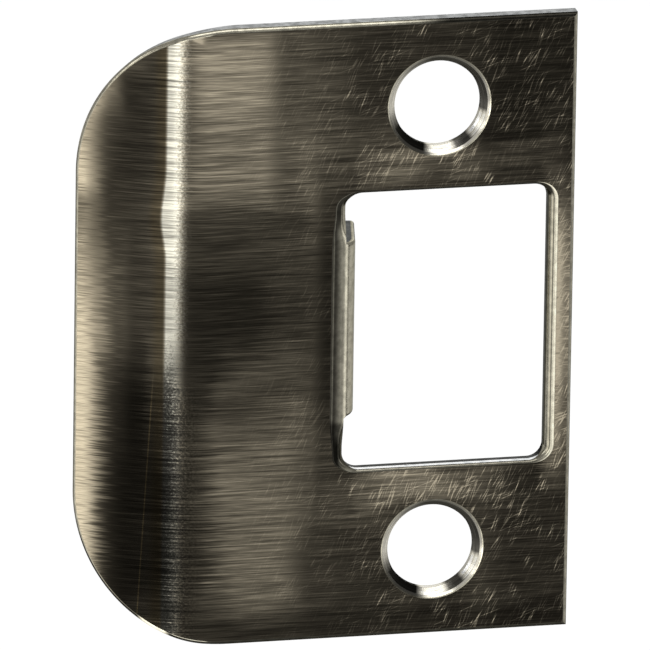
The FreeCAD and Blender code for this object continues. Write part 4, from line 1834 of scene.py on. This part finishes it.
@dataclass(frozen=True)
class ShearedWalls:
    """Sheared walls of the sheet, with painted light and shade: grey where they face up, dark elsewhere and
    in the opening.

    Attributes:
        tint: colour of the cut metal.
        lit: painted light on the front part of the opening's lower wall.
        shades: painted shade on the rest of that wall and on the tongue's upper end.
    """

    tint: Triple = (0.97, 0.99, 1.0)
    lit: Zone = Zone(22.0, 44.5, -12.8, -12.12, 0.05, 0.7)
    shades: tuple[Zone, ...] = (
        Zone(22.0, 44.5, -12.12, -11.0, 0.05, 0.8),
        Zone(-10.0, -3.0, -2.0, 9.0, 0.05, 0.72),
    )

    def colour(self, nodes: SheetNodes) -> Socket:
        """Colour the sheared walls.

        Args:
            nodes: the material's nodes.

        Returns:
            The colour.
        """
        # Painted light on walls that face up, painted shade on the others.
        facing_up = nodes.ramp(nodes.up, -0.3, 0.5, 0.05, 0.4)
        level = nodes.product(facing_up, nodes.ramp(nodes.across, -0.9, -0.6, 0.4, 1.0))
        level = nodes.math("ADD", level, nodes.box(nodes.grain, self.lit))
        for shade in self.shades:
            level = nodes.dimmed(level, nodes.box(nodes.grain, shade))
        return nodes.tinted(self.tint, nodes.product(level, nodes.mottled(0.7, 1.3)))


@dataclass(frozen=True)
class AntiqueNickel:
    """Dark antique nickel, brushed across the plate, with painted highlights, reflections and shade, partly
    metal worn bright where it is handled.

    Attributes:
        patina: the brushed faces.
        edges: the rolled edges and the tongue.
        sinks: the countersinks.
        walls: the sheared walls.
        brushing: layers of the brushing, broad to fine.
        roughness: roughness of the faces.
        edge_polish: how much smoother the rolled edges are.
        specular: tint of the reflection where it is seen at a slant.
        relief: strength of the brushing's relief.
        relief_depth: depth of that relief.
    """

    patina: Patina = field(default_factory=Patina)
    edges: RolledEdges = field(default_factory=RolledEdges)
    sinks: Countersinks = field(default_factory=Countersinks)
    walls: ShearedWalls = field(default_factory=ShearedWalls)
    brushing: tuple[Layer, ...] = (
        ((55.0, 420.0, 0.0), (2.0, 9.0, 0.0), 0.55, 0.09),
        ((110.0, 2900.0, 0.0), (7.0, 3.0, 0.0), 0.6, 0.33),
        ((190.0, 7500.0, 0.0), (0.0, 0.0, 0.0), 0.65, 0.58),
    )
    roughness: float = 0.32
    edge_polish: float = 0.12
    specular: Colour = (0.45, 0.45, 0.43, 1.0)
    relief: float = 0.3
    relief_depth: float = 0.03 * MM

    def make(self) -> bpy.types.Material:
        """Build the node material.

        Returns:
            The material.
        """
        material = bpy.data.materials.new("antique_brushed_nickel")
        material.use_nodes = True
        nodes = SheetNodes(material.node_tree, self.brushing)
        rolled, turned, sheared = (
            nodes.attribute(kind.value) for kind in (Face.ROLLED, Face.TURNED, Face.SHEARED)
        )
        colour = nodes.blend(rolled, self.patina.colour(nodes), self.edges.colour(nodes, self.sinks))
        colour = nodes.blend(turned, colour, self.sinks.colour(nodes))
        colour = nodes.blend(sheared, colour, self.walls.colour(nodes))
        tangent = nodes.put("ShaderNodeTangent", direction_type="UV_MAP", uv_map="grain").outputs[0]
        bump = {"Height": nodes.streak, "Strength": self.relief, "Distance": self.relief_depth}
        shader = nodes.put(
            "ShaderNodeBsdfPrincipled",
            {
                "Base Color": colour,
                "Metallic": 1.0,
                "Roughness": nodes.math("MULTIPLY_ADD", rolled, -self.edge_polish, self.roughness),
                "Anisotropic": 0.9,
                "Anisotropic Rotation": 0.25,
                "Specular Tint": self.specular,
                "Tangent": tangent,
                "Normal": nodes.put("ShaderNodeBump", bump).outputs[0],
            },
        )
        nodes.put("ShaderNodeOutputMaterial", {"Surface": shader.outputs[0]})
        return material


@dataclass(frozen=True)
class Panel:
    """A soft studio lamp that faces the plate.

    Attributes:
        name: what it is.
        azimuth: where it stands, towards the lip's side from straight in front.
        elevation: how high it stands.
        distance: from the plate.
        width: its size across.
        height: its size upwards.
        power: its light in watts per square metre.
        colour: its light's colour.
    """

    name: str
    azimuth: float
    elevation: float
    distance: float
    width: float
    height: float
    power: float
    colour: Triple = (1.0, 1.0, 1.0)

    def hang(self) -> None:
        """Hang the lamp so that it faces the plate."""
        lamp = bpy.data.lights.new(self.name, "AREA")
        lamp.shape = "RECTANGLE"
        lamp.size, lamp.size_y = self.width, self.height
        lamp.energy = self.power * self.width * self.height
        lamp.color = self.colour
        holder = bpy.data.objects.new(self.name, lamp)
        level = math.cos(self.elevation)
        across, forward = -math.sin(self.azimuth) * level, -math.cos(self.azimuth) * level
        away = Vector((across, forward, math.sin(self.elevation)))
        turn = away.to_track_quat("Z", "Y").to_matrix().to_4x4()
        holder.matrix_world = Matrix.Translation(away * self.distance) @ turn
        bpy.context.scene.collection.objects.link(holder)


@dataclass(frozen=True)
class Studio:
    """Pale floor, pale surroundings and soft lamps.

    Attributes:
        floor_level: height of the floor.
        floor_size: side of the floor.
        floor_colour: its own colour, which keeps shadows.
        floor_glow: its brightness to the camera and in reflections.
        sky: light of the surroundings. The camera sees them white.
        panels: the lamps.
    """

    floor_level: float = -0.5
    floor_size: float = 6.0
    floor_colour: Colour = (0.82, 0.82, 0.82, 1.0)
    floor_glow: float = 0.62
    sky: float = 0.44
    panels: tuple[Panel, ...] = (
        Panel("lip_strip", degrees(28.5), degrees(-16), 0.75, 0.165, 0.56, 10.0, (1.0, 0.995, 0.97)),
        Panel("cream_softbox", degrees(57), degrees(-14), 0.75, 0.30, 0.6, 4.0, (1.0, 0.96, 0.88)),
        Panel("left_softbox", degrees(77), degrees(20), 0.8, 0.22, 0.22, 8.0),
        Panel("top_softbox", degrees(0), degrees(76), 1.0, 0.9, 0.7, 7.5),
        Panel("back_softbox", degrees(192.8), degrees(18), 1.0, 0.9, 0.6, 4.5),
        Panel("right_softbox", degrees(-78), degrees(-8), 0.8, 0.16, 0.7, 4.5),
    )

    def build(self) -> None:
        """Make the floor, the world and the lamps."""
        self.make_floor()
        self.make_world()
        for panel in self.panels:
            panel.hang()

    def make_floor(self) -> None:
        """Lay a wide pale floor well below the plate.

        It is white to the camera and in reflections, and its own pale colour keeps shadows.
        """
        half = self.floor_size / 2
        corners = [(-half, -half), (half, -half), (half, half), (-half, half)]
        mesh = bpy.data.meshes.new("pale_floor")
        mesh.from_pydata([(x, y, self.floor_level) for x, y in corners], [], [(0, 1, 2, 3)])
        floor = bpy.data.objects.new("pale_floor", mesh)
        bpy.context.scene.collection.objects.link(floor)
        material = bpy.data.materials.new("pale_floor")
        material.use_nodes = True
        nodes = Nodes(material.node_tree)
        pale = nodes.put("ShaderNodeBsdfDiffuse", {"Color": self.floor_colour}).outputs[0]
        ray = nodes.put("ShaderNodeLightPath").outputs
        seen = nodes.math("MAXIMUM", ray["Is Glossy Ray"], ray["Is Transmission Ray"])
        seen = nodes.math("MAXIMUM", ray["Is Camera Ray"], seen)
        strength = nodes.product(seen, self.floor_glow)
        glow = nodes.put("ShaderNodeEmission", {"Strength": strength}).outputs[0]
        both = nodes.put("ShaderNodeAddShader", {0: pale, 1: glow}).outputs[0]
        nodes.put("ShaderNodeOutputMaterial", {"Surface": both})
        mesh.materials.append(material)

    def make_world(self) -> None:
        """Surround the plate with an even pale light."""
        world = bpy.data.worlds.new("pale_room")
        bpy.context.scene.world = world
        world.use_nodes = True
        nodes = Nodes(world.node_tree)
        seen = nodes.put("ShaderNodeLightPath").outputs["Is Camera Ray"]
        strength = nodes.math("MULTIPLY_ADD", seen, 1.0 - self.sky, self.sky)
        inputs = {"Color": (1.0, 1.0, 1.0, 1.0), "Strength": strength}
        light = nodes.put("ShaderNodeBackground", inputs).outputs[0]
        nodes.put("ShaderNodeOutputWorld", {"Surface": light})


@dataclass(frozen=True)
class Portrait:
    """The camera, placed as the photograph's was.

    Attributes:
        azimuth: how far the camera stands towards the lip's side.
        elevation: how far it looks down.
        roll: how far the plate is turned clockwise in the picture.
        distance: from the camera to the middle of the screw line's front face.
        pixels_per_metre: scale of the picture at that distance.
        centre_x: that point's pixel column.
        centre_y: its pixel row.
        sensor: width of the sensor in millimetres.
        near: nearest distance that it sees.
        far: farthest distance that it sees.
    """

    azimuth: float = degrees(12.80)
    elevation: float = degrees(18.24)
    roll: float = 0.017
    distance: float = 1.473
    pixels_per_metre: float = 11309.0
    centre_x: float = 435.93
    centre_y: float = 328.12
    sensor: float = 36.0
    near: float = 0.05
    far: float = 20.0

    def place(self, target: Vector) -> bpy.types.Object:
        """Create the camera and make it the scene's own.

        The camera's axis goes through the middle of the picture, so it needs no shift.

        Args:
            target: the point whose pixel is known.

        Returns:
            The camera's object.
        """
        sine_a, cosine_a = math.sin(self.azimuth), math.cos(self.azimuth)
        sine_e, cosine_e = math.sin(self.elevation), math.cos(self.elevation)
        towards = Vector((-sine_a * cosine_e, -cosine_a * cosine_e, sine_e))
        right = Vector((cosine_a, -sine_a, 0.0))
        up = Vector((sine_a * sine_e, cosine_a * sine_e, cosine_e))
        picture_right = right * math.cos(self.roll) + up * math.sin(self.roll)
        picture_up = up * math.cos(self.roll) - right * math.sin(self.roll)
        focal = self.pixels_per_metre * self.distance
        across = IMAGE_SIZE / 2 - self.centre_x
        down = IMAGE_SIZE / 2 - self.centre_y
        axis = (-towards * focal + picture_right * across - picture_up * down).normalized()
        side = (picture_right - axis * picture_right.dot(axis)).normalized()
        top = (-axis).cross(side)
        camera = bpy.data.cameras.new("portrait_camera")
        camera.sensor_width = self.sensor
        camera.lens = focal / IMAGE_SIZE * self.sensor
        camera.clip_start, camera.clip_end = self.near, self.far
        holder = bpy.data.objects.new("portrait_camera", camera)
        turn = Matrix((side, top, -axis)).transposed().to_4x4()
        holder.matrix_world = Matrix.Translation(target + towards * self.distance) @ turn
        bpy.context.scene.collection.objects.link(holder)
        bpy.context.scene.camera = holder
        return holder


def main() -> None:
    """Build the plate, its finish, the studio and the camera."""
    logging.basicConfig(level=logging.INFO, format="%(message)s")
    bpy.context.scene.view_settings.view_transform = "Standard"
    plate = StrikePlate()
    piece = plate.build()
    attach(piece, "root")
    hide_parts("strike_plate")
    piece.data.materials.append(AntiqueNickel().make())
    LOG.info("%s: %d vertices, %d faces", piece.name, len(piece.data.vertices), len(piece.data.polygons))
    Studio().build()
    Portrait().place(Vector((0.0, -plate.section.thickness, 0.0)))


if __name__ == "__main__":
    main()
